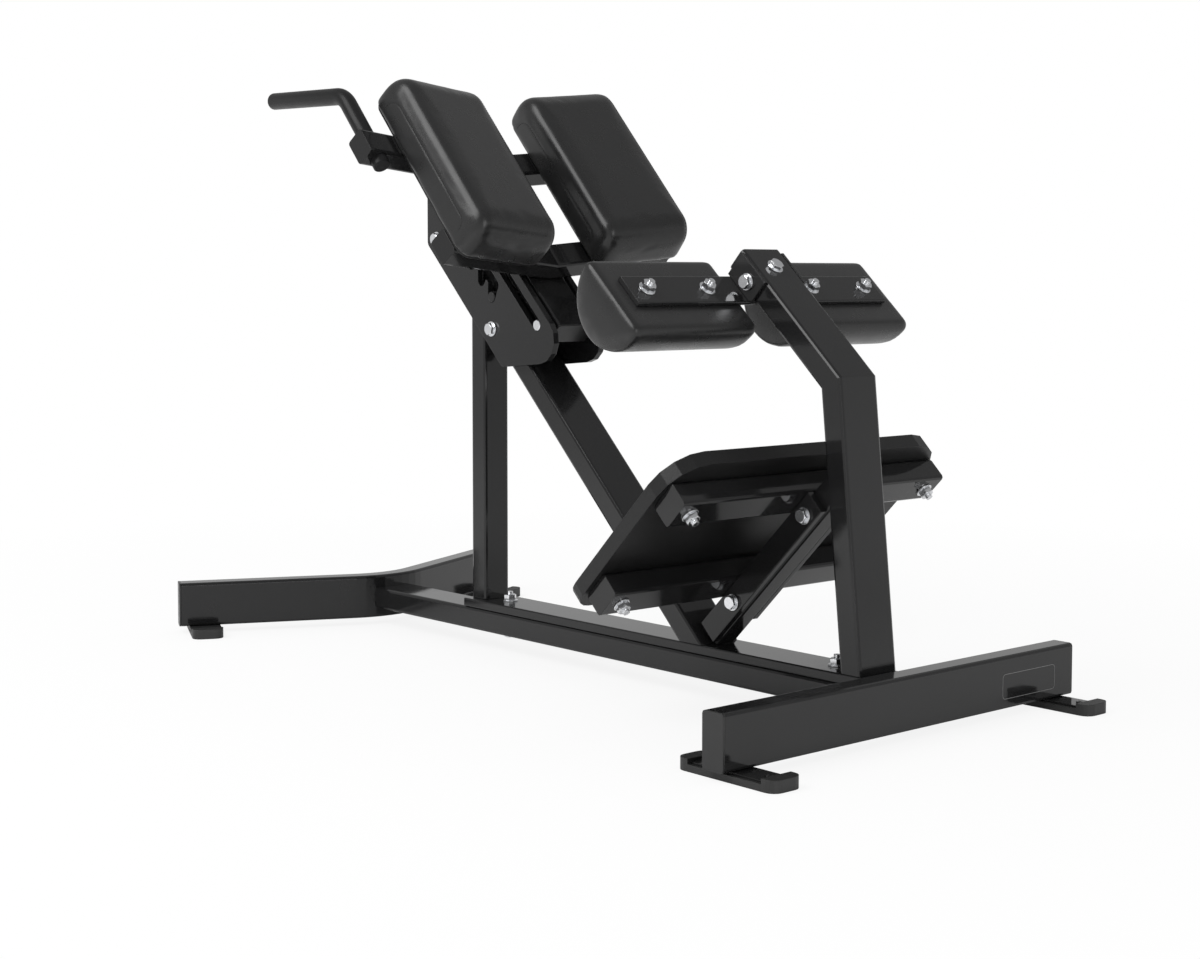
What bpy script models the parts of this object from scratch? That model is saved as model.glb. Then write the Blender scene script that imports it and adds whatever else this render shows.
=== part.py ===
"""Hyperextension bench: fixed frame, sliding pad carriage, ankle pads and foot board.

World axes: +X points to the front (ankle end), +Y to the far side, +Z up. The origin is on the floor
under the middle of the bench. Metres throughout.
"""
import math

import bpy
import bmesh
from mathutils import Matrix, Vector

# Overall length, and the gap kept between faces that touch. A name that ends in BACK is a distance
# back from the bench's front end, or from the slide pin for the plates and the brace.
LENGTH = 1.500
GAP = 0.0003

# Tubes: the wide one of the frame and the narrow ones of the posts, bars and strut
TUBE_W = 0.076
TUBE_T = 0.037
NARROW_W = 0.050
SQUARE_W = 0.038
TUBE_WALL = 0.003
TUBE_R = 0.0045

# Cross feet, their end caps and the rubber feet under them
FOOT_SPAN = 0.720
FOOT_LIFT = 0.0124
REAR_SPAN = 0.707
REAR_SWEEP = math.radians(25)
REAR_BEND_R = 0.150
CAP_T = 0.003
CAP_PLUG = 0.020
CAP_PLAY = 0.0005
RUBBER_W = 0.053
RUBBER_INSET = 0.012
REAR_RUBBER_INSET = 0.0176
RUBBER_CORNER_R = 0.015
RUBBER_AHEAD = 0.075
RUBBER_BEHIND = 0.061
REAR_RUBBER_AHEAD = 0.065
REAR_RUBBER_BEHIND = 0.054
RUBBER_LIP_H = 0.0165
RUBBER_LIP_L = 0.022
RUBBER_WALL_H = 0.0095
STRIP_W = 0.041
STRIP_T = 0.004

# Base rail, the runner bar bolted on top of it, and their bolts
RAIL_Z = 0.0295
RUNNER_T = 0.014
RUNNER_R = 0.002
RUNNER_BACK = 1.023
RAIL_BOLT_BACK = (("rear", 0.945), ("front", 0.212))

# Rear post
REAR_POST_BACK = 0.9987

# Front post: foot, bend and top of its centre line
POST_FOOT_BACK = 0.1544
POST_BEND_BACK = 0.1952
POST_BEND_Z = 0.4794
POST_TOP_BACK = 0.3774
POST_TOP_Z = 0.6503

# The slope starts at the slide pin: s runs down to the front, n out of the slope
PIN_BACK = 0.8072
PIN_Z = 0.5473
SLOPE = math.radians(45)

# Side plates: edges along the slope, then the upright rear edge, the level top and the low edge
PLATE_T = 0.0105
PLATE_REAR_N = -0.1133
PLATE_FRONT_N = 0.0244
PLATE_REAR_BACK = 0.2928
PLATE_TOP_Z = 0.805
PLATE_LOW_Z = 0.4850
PLATE_LOW_TILT = math.radians(4.8)
PLATE_NOSE_R = 0.038
PLATE_CORNER_R = 0.012
PACKER_W = 0.022
PACKER_T = 0.0049
PACKER_END = 0.020
PLATE_BOLT_N = -0.088
PLATE_BOLT_S = (("lower", -0.0765), ("upper", -0.287))

# Slide: pins, slot, latch pockets and how far the carriage lifts to clear them
PIN_R = 0.00875
PIN_PLAY = 0.00075
PIN_PROUD = 0.0015
PIN_CHAMFER = 0.001
LATCH_S = -0.1140
LATCH_N = -0.0511
POCKETS = 7
POCKET_PITCH = 0.038
TONGUE_R = 0.0022
LIFT_ANGLE = math.radians(9.5)

# Brace between the side plates and the runner
BRACE_N = -0.0908
BRACE_TOP_BACK = 0.2958

# Carriage: its tube, which stands steeper above a slight bend, and the yoke of the latch pin
CARRIAGE_LOW_S = 0.0265
CARRIAGE_BEND_S = -0.0758
CARRIAGE_TOP_T = -0.274
CARRIAGE_LEAN = math.radians(3)
CARRIAGE_N = 0.0065
CARRIAGE_PLUG = 0.010
YOKE_L = 0.036
YOKE_WEB = 0.006
YOKE_CHEEK = 0.008
YOKE_EDGE = 0.014

# V-shaped crossbars, placed along the carriage from its bend, and the handles through the upper one
CROSSBAR_W = 0.047
CROSSBAR_T = 0.035
CROSSBAR_V = math.radians(8.24)
LOWER_BAR_T = -0.0245
UPPER_BAR_T = -0.2269
LOWER_BAR_HALF = 0.232
UPPER_BAR_HALF = 0.297
HANDLE_R = 0.0138
HANDLE_WALL = 0.0025
HANDLE_INSET = 0.0267
HANDLE_STUB = 0.014
HANDLE_RISE = 0.0753
HANDLE_BEND_R = 0.045
HANDLE_TILT = math.radians(1.5)
HANDLE_GRIP = 0.190

# Hip pads on the crossbars
HIP_LOW_T = 0.018
HIP_TOP_T = -0.327
HIP_IN = 0.062
HIP_OUT = 0.236
HIP_T = 0.078
HIP_LOW_R = 0.034
HIP_TOP_R = 0.044
HIP_BASE_R = 0.012
HIP_EDGE_R = 0.020
HIP_CROWN = 0.003

# Ankle bracket, bar and pads, placed along the upper part of the front post
ANKLE_DOWN = 0.0377
BRACKET_L = 0.062
BRACKET_T = 0.0045
BRACKET_CHEEK = 0.036
BRACKET_BOLT_DOWN = 0.005
BRACKET_BOLT_BACK = 0.0055
ANKLE_BAR_W = 0.054
ANKLE_BAR_T = 0.0075
ANKLE_BAR_HALF = 0.2527
ANKLE_PAD_IN = 0.046
ANKLE_PAD_OUT = 0.281
ANKLE_PAD_R = 0.072
ANKLE_PAD_FLAT = 0.010
ANKLE_PAD_CORNER_R = 0.008
ANKLE_EDGE_R = 0.008
ANKLE_NUT_Y = (("inner", 0.107), ("outer", 0.222))

# Foot board, its two bars and the strut with its plates
BOARD_S = 0.4968
BOARD_T = 0.0225
BOARD_HALF = 0.275
BOARD_LOW_N = -0.026
BOARD_TOP_N = 0.2767
BOARD_TOP_R = 0.062
BOARD_LOW_R = 0.028
FOOT_BAR_HALF = 0.266
FOOT_BAR_N = (("upper", 0.2184), ("lower", 0.0250))
FOOT_BOLT_Y = 0.241
STRUT_PLATE_T = 0.011
STRUT_PLATE_W = 0.036
STRUT_PLATE_LOW_N = {"near": -0.0573, "far": -0.0113}
STRUT_PLATE_TOP_N = {"near": 0.2423, "far": 0.2560}
STRUT_BOLT_N = (("upper", 0.2140), ("lower", 0.0168))

# Fasteners
SHANK_R = 0.005
WASHER_R = 0.0125
WASHER_T = 0.0025
HEAD_R = 0.0105
HEAD_T = 0.0065
NUT_T = 0.0090
THREAD_OUT = 0.005
PAD_THREAD = 0.012
HOLE_RUNOUT = 0.010
ROUND_SIDES = 12

# Where pieces meet, worked out from the values above
FRONT_X = LENGTH / 2
RUNNER_REAR_X = FRONT_X - RUNNER_BACK
REAR_POST_X = FRONT_X - REAR_POST_BACK
POST_FOOT_X = FRONT_X - POST_FOOT_BACK
POST_BEND_X = FRONT_X - POST_BEND_BACK
POST_TOP_X = FRONT_X - POST_TOP_BACK
PIN_X = FRONT_X - PIN_BACK
PLATE_REAR_X = PIN_X - PLATE_REAR_BACK
BRACE_TOP_X = PIN_X - BRACE_TOP_BACK
RAIL_TOP = RAIL_Z + TUBE_T
RUNNER_Z = RAIL_TOP + GAP
RUNNER_TOP = RUNNER_Z + RUNNER_T
FOOT_FRONT_X = FRONT_X - RUBBER_AHEAD
FOOT_BACK_X = FOOT_FRONT_X - TUBE_T
PLATE_IN = TUBE_W / 2 + PACKER_T + 2 * GAP
PLATE_OUT = PLATE_IN + PLATE_T
SLOT_HALF = PIN_R + PIN_PLAY
TRAVEL = POCKET_PITCH * (POCKETS - 1)
BRACE_UNDER = BRACE_N - TUBE_T / 2 - GAP
BRACE_OVER = BRACE_N + TUBE_T / 2 + GAP
SEAT = TUBE_T / 2 + GAP
CROSSBAR_OVER = SEAT + CROSSBAR_T / 2 / math.cos(CROSSBAR_V)
FOOT_BAR_S = BOARD_S + BOARD_T + GAP
STRUT_S = FOOT_BAR_S + TUBE_T + GAP
STRUT_MID_S = STRUT_S + SQUARE_W / 2
STRUT_PLATE_IN = SQUARE_W / 2 + GAP
BRACKET_IN = TUBE_W / 2 + GAP
BRACKET_BACK = TUBE_T / 2 + GAP + BRACKET_T
ANKLE_BAR_BACK = BRACKET_BACK + GAP + ANKLE_BAR_T
ACROSS = Vector((0, 1, 0))
FRONT = Vector((1, 0, 0))
UP = Vector((0, 0, 1))
DOWN = FRONT * math.cos(SLOPE) - UP * math.sin(SLOPE)
OUT = FRONT * math.sin(SLOPE) + UP * math.cos(SLOPE)
STEEP_DOWN = DOWN * math.cos(CARRIAGE_LEAN) - OUT * math.sin(CARRIAGE_LEAN)
STEEP_OUT = OUT * math.cos(CARRIAGE_LEAN) + DOWN * math.sin(CARRIAGE_LEAN)
SIDES = (("near", -1), ("far", 1))


def slope(s, y, n):
    """A point given along the slope, across the bench and out of the slope."""
    return Vector((PIN_X, y, PIN_Z)) + DOWN * s + OUT * n


def upper(t, y, m):
    """A point given along the steeper upper part of the carriage, across it and out of it."""
    return slope(CARRIAGE_BEND_S, y, CARRIAGE_N) + STEEP_DOWN * t + STEEP_OUT * m


def s_at_x(x, n):
    """How far down the slope a line at n crosses an upright plane."""
    return (x - PIN_X - n * math.sin(SLOPE)) / math.cos(SLOPE)


def s_at_z(z, n):
    """How far down the slope a line at n crosses a level plane."""
    return (n * math.cos(SLOPE) - z + PIN_Z) / math.sin(SLOPE)


def meet(place, direction, face, normal):
    """Where a line meets a plane."""
    return place + direction * ((face - place).dot(normal) / direction.dot(normal))


def finish(name, colour, roughness, metallic):
    """A Principled material."""
    material = bpy.data.materials.new(name)
    material.use_nodes = True
    shader = material.node_tree.nodes["Principled BSDF"]
    shader.inputs["Base Color"].default_value = (*colour, 1)
    shader.inputs["Roughness"].default_value = roughness
    shader.inputs["Metallic"].default_value = metallic
    return material


def add(name, bm, material):
    """Make an object from a closed bmesh, with its faces out and round parts smooth."""
    bmesh.ops.recalc_face_normals(bm, faces=bm.faces)
    mesh = bpy.data.meshes.new(name)
    bm.to_mesh(mesh)
    bm.free()
    mesh.shade_smooth()
    mesh.set_sharp_from_angle(angle=math.radians(38))
    mesh.materials.append(material)
    piece = bpy.data.objects.new(name, mesh)
    bpy.context.collection.objects.link(piece)
    return piece


def rounded_box(width, height, radius, steps=2):
    """Points round a rectangle with rounded corners, centred on the origin."""
    points = []
    corners = ((1, 1), (-1, 1), (-1, -1), (1, -1))
    for turn, (right, top) in enumerate(corners):
        for step in range(steps + 1):
            angle = math.pi / 2 * (turn + step / steps)
            x = right * (width / 2 - radius) + radius * math.cos(angle)
            y = top * (height / 2 - radius) + radius * math.sin(angle)
            points.append((x, y))
    return points


def box_tube(width, depth, wall=TUBE_WALL):
    """The outlines of a box tube, outside and inside."""
    inside = rounded_box(width - 2 * wall, depth - 2 * wall, TUBE_R / 2)
    return rounded_box(width, depth, TUBE_R), inside


def arc(centre, radius, start, end, steps):
    """Points on an arc, both ends included."""
    points = []
    for step in range(steps + 1):
        angle = start + (end - start) * step / steps
        points.append((centre[0] + radius * math.cos(angle), centre[1] + radius * math.sin(angle)))
    return points


def circle(radius, centre=(0, 0), sides=ROUND_SIDES):
    """Points round a circle."""
    return arc(centre, radius, 0, 2 * math.pi, sides)[:-1]


def hexagon(radius):
    """A hexagon with a point added in the middle of each side, to match a 12-sided circle."""
    points = []
    for turn in range(ROUND_SIDES):
        reach = radius if turn % 2 == 0 else radius * math.cos(math.pi / 6)
        angle = 2 * math.pi * turn / ROUND_SIDES
        points.append((reach * math.cos(angle), reach * math.sin(angle)))
    return points


def fillet(corner, before, after, radius):
    """Points that round a corner between two neighbouring corners."""
    corner = Vector(corner)
    a = (Vector(before) - corner).normalized()
    b = (Vector(after) - corner).normalized()
    half = a.angle(b) / 2
    centre = corner + (a + b).normalized() * (radius / math.sin(half))
    first = corner + a * (radius / math.tan(half)) - centre
    turn = math.pi - 2 * half
    if a.x * b.y - a.y * b.x > 0:
        turn = -turn
    steps = max(2, round(abs(turn) / math.radians(24)))
    start = math.atan2(first.y, first.x)
    return arc(centre, radius, start, start + turn, steps)


def rounded_polygon(corners):
    """An outline from (x, y, radius) corners, where radius 0 keeps the corner sharp."""
    points = []
    count = len(corners)
    for index, (x, y, radius) in enumerate(corners):
        before = corners[index - 1][:2]
        after = corners[(index + 1) % count][:2]
        if radius:
            points.extend(fillet((x, y), before, after, radius))
        else:
            points.append((x, y))
    return points


def rings_along(bm, outline, path, side, cuts):
    """Rings of an outline along a path, mitred at its bends and cut by a plane at each end."""
    rings = []
    last = len(path) - 1
    for index, place in enumerate(path):
        into = (path[max(index, 1)] - path[max(index, 1) - 1]).normalized()
        on = (path[min(index, last - 1) + 1] - path[min(index, last - 1)]).normalized()
        normal = (into + on).normalized()
        if index == 0 and cuts[0] is not None:
            normal = cuts[0]
        if index == last and cuts[1] is not None:
            normal = cuts[1]
        lift = side.cross(into).normalized()
        ring = []
        for across, up in outline:
            offset = side * across + lift * up
            offset -= into * (offset.dot(normal) / into.dot(normal))
            ring.append(bm.verts.new(place + offset))
        rings.append(ring)
    return rings


def join_rings(bm, rings):
    """Faces between each ring of vertices and the next."""
    for first, second in zip(rings, rings[1:]):
        count = len(first)
        for index in range(count):
            after = (index + 1) % count
            bm.faces.new((first[index], first[after], second[after], second[index]))


def bar(name, path, side, outline, material, cuts=(None, None)):
    """A solid bar along a path."""
    bm = bmesh.new()
    rings = rings_along(bm, outline, path, side, cuts)
    join_rings(bm, rings)
    bm.faces.new(rings[0])
    bm.faces.new(rings[-1])
    return add(name, bm, material)


def tube(name, path, side, outlines, material, cuts=(None, None), closed=False):
    """A tube along a path, open at both ends, or closed at its last end."""
    bm = bmesh.new()
    outer = rings_along(bm, outlines[0], path, side, cuts)
    bore = list(path)
    if closed:
        bore[-1] = path[-1] - (path[-1] - path[-2]).normalized() * TUBE_WALL
    inner = rings_along(bm, outlines[1], bore, side, cuts)
    join_rings(bm, outer)
    join_rings(bm, inner)
    join_rings(bm, [outer[0], inner[0]])
    if closed:
        bm.faces.new(outer[-1])
        bm.faces.new(inner[-1])
    else:
        join_rings(bm, [outer[-1], inner[-1]])
    return add(name, bm, material)


def prism(name, outline, place, thickness, material, holes=()):
    """A plate cut to an outline with holes, in the local XY plane of place, thick along local Z."""
    bm = bmesh.new()
    edges = []
    for loop in (outline, *holes):
        ring = [bm.verts.new((x, y, 0)) for x, y in loop]
        for index, vertex in enumerate(ring):
            edges.append(bm.edges.new((vertex, ring[(index + 1) % len(ring)])))
    filled = bmesh.ops.triangle_fill(bm, edges=edges, use_beauty=True, normal=UP)
    faces = [item for item in filled["geom"] if isinstance(item, bmesh.types.BMFace)]
    grown = bmesh.ops.extrude_face_region(bm, geom=faces)
    moved = [item for item in grown["geom"] if isinstance(item, bmesh.types.BMVert)]
    bmesh.ops.translate(bm, verts=moved, vec=UP * thickness)
    bm.transform(place)
    return add(name, bm, material)


def stacked(name, steps, place, material):
    """A piece made of (height, outline) steps, from one end to the other along local Z."""
    bm = bmesh.new()
    rings = [[bm.verts.new((x, y, height)) for x, y in outline] for height, outline in steps]
    join_rings(bm, rings)
    bm.faces.new(rings[0])
    bm.faces.new(rings[-1])
    bm.transform(place)
    return add(name, bm, material)


def facing(place, x_axis, y_axis):
    """A matrix whose X and Y axes are given and whose Z axis is square to them."""
    z_axis = x_axis.cross(y_axis)
    matrix = Matrix((x_axis, y_axis, z_axis)).transposed().to_4x4()
    matrix.translation = place
    return matrix


def pointing(place, direction):
    """A matrix whose Z axis points along a direction."""
    matrix = direction.to_track_quat("Z", "Y").to_matrix().to_4x4()
    matrix.translation = place
    return matrix


def take(piece, tool):
    """Cut a tool out of a piece."""
    tool.hide_render = True
    tool.display_type = "WIRE"
    boolean = piece.modifiers.new(tool.name, "BOOLEAN")
    boolean.operation = "DIFFERENCE"
    boolean.object = tool


def drill(pieces, face, inward, depth, radius=SHANK_R + GAP, sides=ROUND_SIDES):
    """A round hole into some pieces from a point on the first one's face."""
    outline = circle(radius, sides=sides)
    steps = [(-HOLE_RUNOUT, outline), (depth, outline)]
    tool = stacked("drill_" + pieces[0].name, steps, pointing(face, inward), steel)
    for piece in pieces:
        take(piece, tool)


def hollow(piece, path, side, outlines):
    """Clear the inside of a drilled bar, leaving its walls and its ends."""
    inset = list(path)
    inset[0] = path[0] + (path[1] - path[0]).normalized() * TUBE_WALL
    inset[-1] = path[-1] - (path[-1] - path[-2]).normalized() * TUBE_WALL
    take(piece, bar("inside_" + piece.name, inset, side, outlines[1], steel))


def bolt(name, pieces, head, inward, grip, nut=True):
    """A hex bolt with its washer, through drilled pieces to a washer and nut, or into a thread."""
    drill(pieces, head, inward, grip + HOLE_RUNOUT if nut else grip + GAP)
    shank = circle(SHANK_R)
    washer = circle(WASHER_R)
    under = -GAP - WASHER_T
    steps = [(under - HEAD_T, hexagon(HEAD_R)), (under, hexagon(HEAD_R)), (under, washer),
             (-GAP, washer), (-GAP, shank)]
    if nut:
        seat = grip + GAP
        over = seat + WASHER_T
        steps += [(seat, shank), (seat, washer), (over, washer), (over, hexagon(HEAD_R)),
                  (over + NUT_T, hexagon(HEAD_R)), (over + NUT_T, shank),
                  (over + NUT_T + THREAD_OUT, shank)]
    else:
        steps.append((grip, shank))
    return stacked(name, steps, pointing(head, inward), steel)


def stud(name, pieces, seat, inward, reach):
    """A stud in a blind hole, with a washer and a nut on its outer end."""
    drill(pieces, seat, inward, reach + GAP)
    shank = circle(SHANK_R)
    washer = circle(WASHER_R)
    over = -GAP - WASHER_T
    steps = [(over - NUT_T - THREAD_OUT, shank), (over - NUT_T, shank), (over - NUT_T, hexagon(HEAD_R)),
             (over, hexagon(HEAD_R)), (over, washer), (-GAP, washer), (-GAP, shank), (reach, shank)]
    return stacked(name, steps, pointing(seat, inward), steel)


for old in list(bpy.data.objects):
    bpy.data.objects.remove(old)

paint = finish("frame_paint", (0.040, 0.040, 0.042), 0.42, 0.0)
rubber = finish("black_rubber", (0.030, 0.030, 0.031), 0.80, 0.0)
plastic = finish("black_plastic", (0.035, 0.035, 0.036), 0.50, 0.0)
leather = finish("black_upholstery", (0.030, 0.030, 0.031), 0.45, 0.0)
board_black = finish("board_black", (0.028, 0.028, 0.029), 0.65, 0.0)
steel = finish("bright_steel", (0.62, 0.63, 0.65), 0.25, 1.0)

WIDE_TUBE = box_tube(TUBE_W, TUBE_T)


def end_cap(name, tube_end, side, inward, plug):
    """A plastic cap flush with the end of a wide tube, with a plug inside the tube."""
    face = rounded_box(TUBE_W, TUBE_T, TUBE_R)
    inside = 2 * (TUBE_WALL + CAP_PLAY)
    core = rounded_box(TUBE_W - inside, TUBE_T - inside, TUBE_R / 2)
    steps = [(0, face), (CAP_T, face), (CAP_T, core), (CAP_T + plug, core)]
    return stacked(name, steps, facing(tube_end, side, inward.cross(side)), plastic)


def rubber_foot(name, centre, ahead_way, ahead, behind, channel):
    """A moulded rubber foot: low side walls, a lip at each end and a channel for the steel strip."""
    front = TUBE_T / 2 + ahead
    back = -TUBE_T / 2 - behind
    place = facing(centre, ahead_way, UP.cross(ahead_way))
    side_y = RUBBER_W / 2
    plan = rounded_polygon([(x, y, RUBBER_CORNER_R) for x, y in
                            ((back, -side_y), (front, -side_y), (front, side_y), (back, side_y))])
    foot = prism(name, plan, place, RUBBER_LIP_H, rubber)
    saddle = (front - back) / 2 - RUBBER_LIP_L
    floor = FOOT_LIFT - STRIP_T - 2 * GAP if channel else FOOT_LIFT - GAP
    low = [(-saddle, -side_y), (saddle, -side_y), (saddle, side_y), (-saddle, side_y)]
    middle = place @ Matrix.Translation(((front + back) / 2, 0, 0))
    over = [(RUBBER_WALL_H if channel else floor, [(x, 2 * y) for x, y in low]),
            (2 * RUBBER_LIP_H, [(x, 2 * y) for x, y in low])]
    take(foot, stacked("saddle_" + name, over, middle, steel))
    if channel:
        wide = STRIP_W / 2 + GAP
        well = [(x, math.copysign(wide, y)) for x, y in low]
        take(foot, stacked("channel_" + name, [(floor, well), (2 * RUBBER_LIP_H, well)], middle, steel))
        strip_x = saddle - GAP
        steps = [(FOOT_LIFT - GAP - STRIP_T, rounded_box(2 * strip_x, STRIP_W, TUBE_R / 2)),
                 (FOOT_LIFT - GAP, rounded_box(2 * strip_x, STRIP_W, TUBE_R / 2))]
        stacked(name.replace("rubber_foot", "foot_strip"), steps, middle, paint)
    return foot


# Front cross foot, straight, with its caps and rubber feet
foot_x = FOOT_FRONT_X - TUBE_T / 2
foot_z = FOOT_LIFT + TUBE_W / 2
foot_end = FOOT_SPAN / 2
tube_end = foot_end - CAP_T - GAP
front_path = [Vector((foot_x, -tube_end, foot_z)), Vector((foot_x, tube_end, foot_z))]
tube("front_cross_foot", front_path, UP, WIDE_TUBE, paint)
for side_name, side in SIDES:
    end = Vector((foot_x, side * foot_end, foot_z))
    end_cap("front_foot_cap_" + side_name, end, UP, ACROSS * -side, CAP_PLUG)
    under = Vector((foot_x, side * (foot_end - RUBBER_INSET - RUBBER_W / 2), 0))
    rubber_foot("rubber_foot_front_" + side_name, under, FRONT, RUBBER_AHEAD, RUBBER_BEHIND, True)

# Rear cross foot, bent at its middle so that both arms sweep back, with its caps and rubber feet
bend_in = REAR_BEND_R * math.sin(REAR_SWEEP)
bend_out = REAR_BEND_R * math.cos(REAR_SWEEP)
arm_end_y = REAR_SPAN / 2 - TUBE_T / 2 * math.sin(REAR_SWEEP)
arm_length = (arm_end_y - bend_in) / math.cos(REAR_SWEEP)
arm_rubber = arm_length - REAR_RUBBER_INSET - RUBBER_W / 2
corner_back = (TUBE_T / 2 + REAR_RUBBER_BEHIND - RUBBER_CORNER_R) * math.cos(REAR_SWEEP)
corner_side = (RUBBER_W / 2 - RUBBER_CORNER_R) * math.sin(REAR_SWEEP)
rubber_back = corner_back + corner_side + RUBBER_CORNER_R
bend_x = -LENGTH / 2 + rubber_back + arm_rubber * math.sin(REAR_SWEEP) - bend_out
BEND_STEPS = 8


def rear_arm(side, along):
    """A point on the centre line of a rear arm, from the end of the bend outwards."""
    way = rear_way(side)
    return Vector((bend_x + bend_out, side * bend_in, foot_z)) + way * along


def rear_way(side):
    """The direction of a rear arm, outwards from the bend."""
    return Vector((-math.sin(REAR_SWEEP), side * math.cos(REAR_SWEEP), 0))


bend_arc = arc((bend_x, 0), REAR_BEND_R, -REAR_SWEEP, REAR_SWEEP, BEND_STEPS)
rear_tube_end = arm_length - CAP_T - GAP
rear_path = [rear_arm(-1, rear_tube_end)]
rear_path += [Vector((x, y, foot_z)) for x, y in bend_arc]
rear_path.append(rear_arm(1, rear_tube_end))
tube("rear_cross_foot", rear_path, UP, WIDE_TUBE, paint)
for side_name, side in SIDES:
    way = rear_way(side)
    end_cap("rear_foot_cap_" + side_name, rear_arm(side, arm_length), UP, -way, CAP_PLUG)
    under = rear_arm(side, arm_rubber) - UP * foot_z
    ahead_way = Vector((math.cos(REAR_SWEEP), side * math.sin(REAR_SWEEP), 0))
    rubber_foot("rubber_foot_rear_" + side_name, under, ahead_way,
                REAR_RUBBER_AHEAD, REAR_RUBBER_BEHIND, False)

# Base rail between the cross feet, its rear end cut round to the bend, and the runner bar on it
half_step = REAR_SWEEP / BEND_STEPS
bend_face = (REAR_BEND_R * math.cos(half_step) + TUBE_T / 2 + GAP) / math.cos(half_step)
rail_z = RAIL_Z + TUBE_T / 2
rail_front = Vector((FOOT_BACK_X - GAP, 0, rail_z))
rail_rear = Vector((bend_x + bend_face * math.cos(REAR_SWEEP), 0, rail_z))
rail = tube("lower_rail", [rail_rear, rail_front], ACROSS, WIDE_TUBE, paint)
round_cut = [(bend_x, 0)] + arc((bend_x, 0), bend_face, -REAR_SWEEP, REAR_SWEEP, BEND_STEPS)
round_steps = [(RAIL_Z - GAP, round_cut), (RUNNER_Z, round_cut)]
take(rail, stacked("rail_end_cut", round_steps, Matrix(), steel))
runner_z = RUNNER_Z + RUNNER_T / 2
runner_path = [Vector((RUNNER_REAR_X, 0, runner_z)), Vector((FOOT_BACK_X - GAP, 0, runner_z))]
runner = bar("runner_bar", runner_path, ACROSS, rounded_box(TUBE_W, RUNNER_T, RUNNER_R), paint)
for end_name, bolt_back in RAIL_BOLT_BACK:
    head = Vector((FRONT_X - bolt_back, 0, RAIL_Z))
    bolt("rail_bolt_" + end_name, [rail, runner], head, UP, RUNNER_TOP - RAIL_Z)

# Brace on the slope, and the rear post that stands under it
post_ground = RUNNER_TOP + GAP
brace_path = [slope(s_at_x(BRACE_TOP_X, BRACE_N), 0, BRACE_N),
              slope(s_at_z(post_ground, BRACE_N), 0, BRACE_N)]
brace = tube("brace_tube", brace_path, ACROSS, WIDE_TUBE, paint, (FRONT, UP))
rear_foot = Vector((REAR_POST_X, 0, post_ground))
rear_top = slope(s_at_x(REAR_POST_X, BRACE_UNDER), 0, BRACE_UNDER)
tube("rear_post", [rear_foot, rear_top], ACROSS, box_tube(NARROW_W, SQUARE_W), paint, (UP, OUT))


def latch_outline():
    """The latch channel and its pockets, in slope coordinates. The lower wall of each pocket follows the
    latch pin's turn about the slide pin."""
    reach = math.hypot(LATCH_S, LATCH_N)
    rest_turn = math.atan2(-LATCH_N, -LATCH_S)
    lifted_turn = rest_turn - LIFT_ANGLE
    lifted_s = -reach * math.cos(lifted_turn)
    lifted_n = -reach * math.sin(lifted_turn)
    over = lifted_n + SLOT_HALF
    under = lifted_n - SLOT_HALF
    wall_r = reach - SLOT_HALF
    wall_s = SLOT_HALF * math.cos(SLOPE)
    wall_n = SLOT_HALF * math.sin(SLOPE)
    tilt = math.tan(SLOPE)
    low_end = arc((lifted_s, lifted_n), SLOT_HALF, math.pi / 2, lifted_turn, 4)
    low_end += arc((0, 0), wall_r, math.pi + lifted_turn, math.pi + rest_turn, 3)[1:-1]
    corners = [(s, n, 0) for s, n in low_end]
    for pocket in range(POCKETS):
        rest_s = LATCH_S - pocket * POCKET_PITCH
        back_s = rest_s - wall_s - (under - LATCH_N + wall_n) * tilt
        if pocket > 0:
            tip_s = -pocket * POCKET_PITCH - math.sqrt(wall_r ** 2 - under ** 2)
            corners.append((tip_s, under, TONGUE_R))
        bottom = arc((rest_s, LATCH_N), SLOT_HALF, rest_turn, SLOPE - math.pi, 6)
        corners += [(s, n, 0) for s, n in bottom]
        if pocket < POCKETS - 1:
            corners.append((back_s, under, TONGUE_R))
    top_s = back_s - (over - under) * tilt
    corners.append((top_s, over, SLOT_HALF))
    return rounded_polygon(corners)


def plate_outline():
    """The outline of a side plate, in slope coordinates."""
    lean = math.tan(PLATE_LOW_TILT)
    corners = []
    for n, radius in ((PLATE_REAR_N, PLATE_CORNER_R), (PLATE_FRONT_N, PLATE_NOSE_R)):
        along = n * (math.cos(SLOPE) - lean * math.sin(SLOPE)) - PLATE_LOW_Z + PIN_Z
        s = along / (math.sin(SLOPE) + lean * math.cos(SLOPE))
        corners.append((s, n, radius))
    corners.append((s_at_z(PLATE_TOP_Z, PLATE_FRONT_N), PLATE_FRONT_N, PLATE_CORNER_R))
    top = Vector((PLATE_REAR_X - PIN_X, 0, PLATE_TOP_Z - PIN_Z))
    corners.append((top.dot(DOWN), top.dot(OUT), PLATE_CORNER_R))
    corners.append((s_at_x(PLATE_REAR_X, PLATE_REAR_N), PLATE_REAR_N, PLATE_CORNER_R))
    return rounded_polygon(corners)


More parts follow.
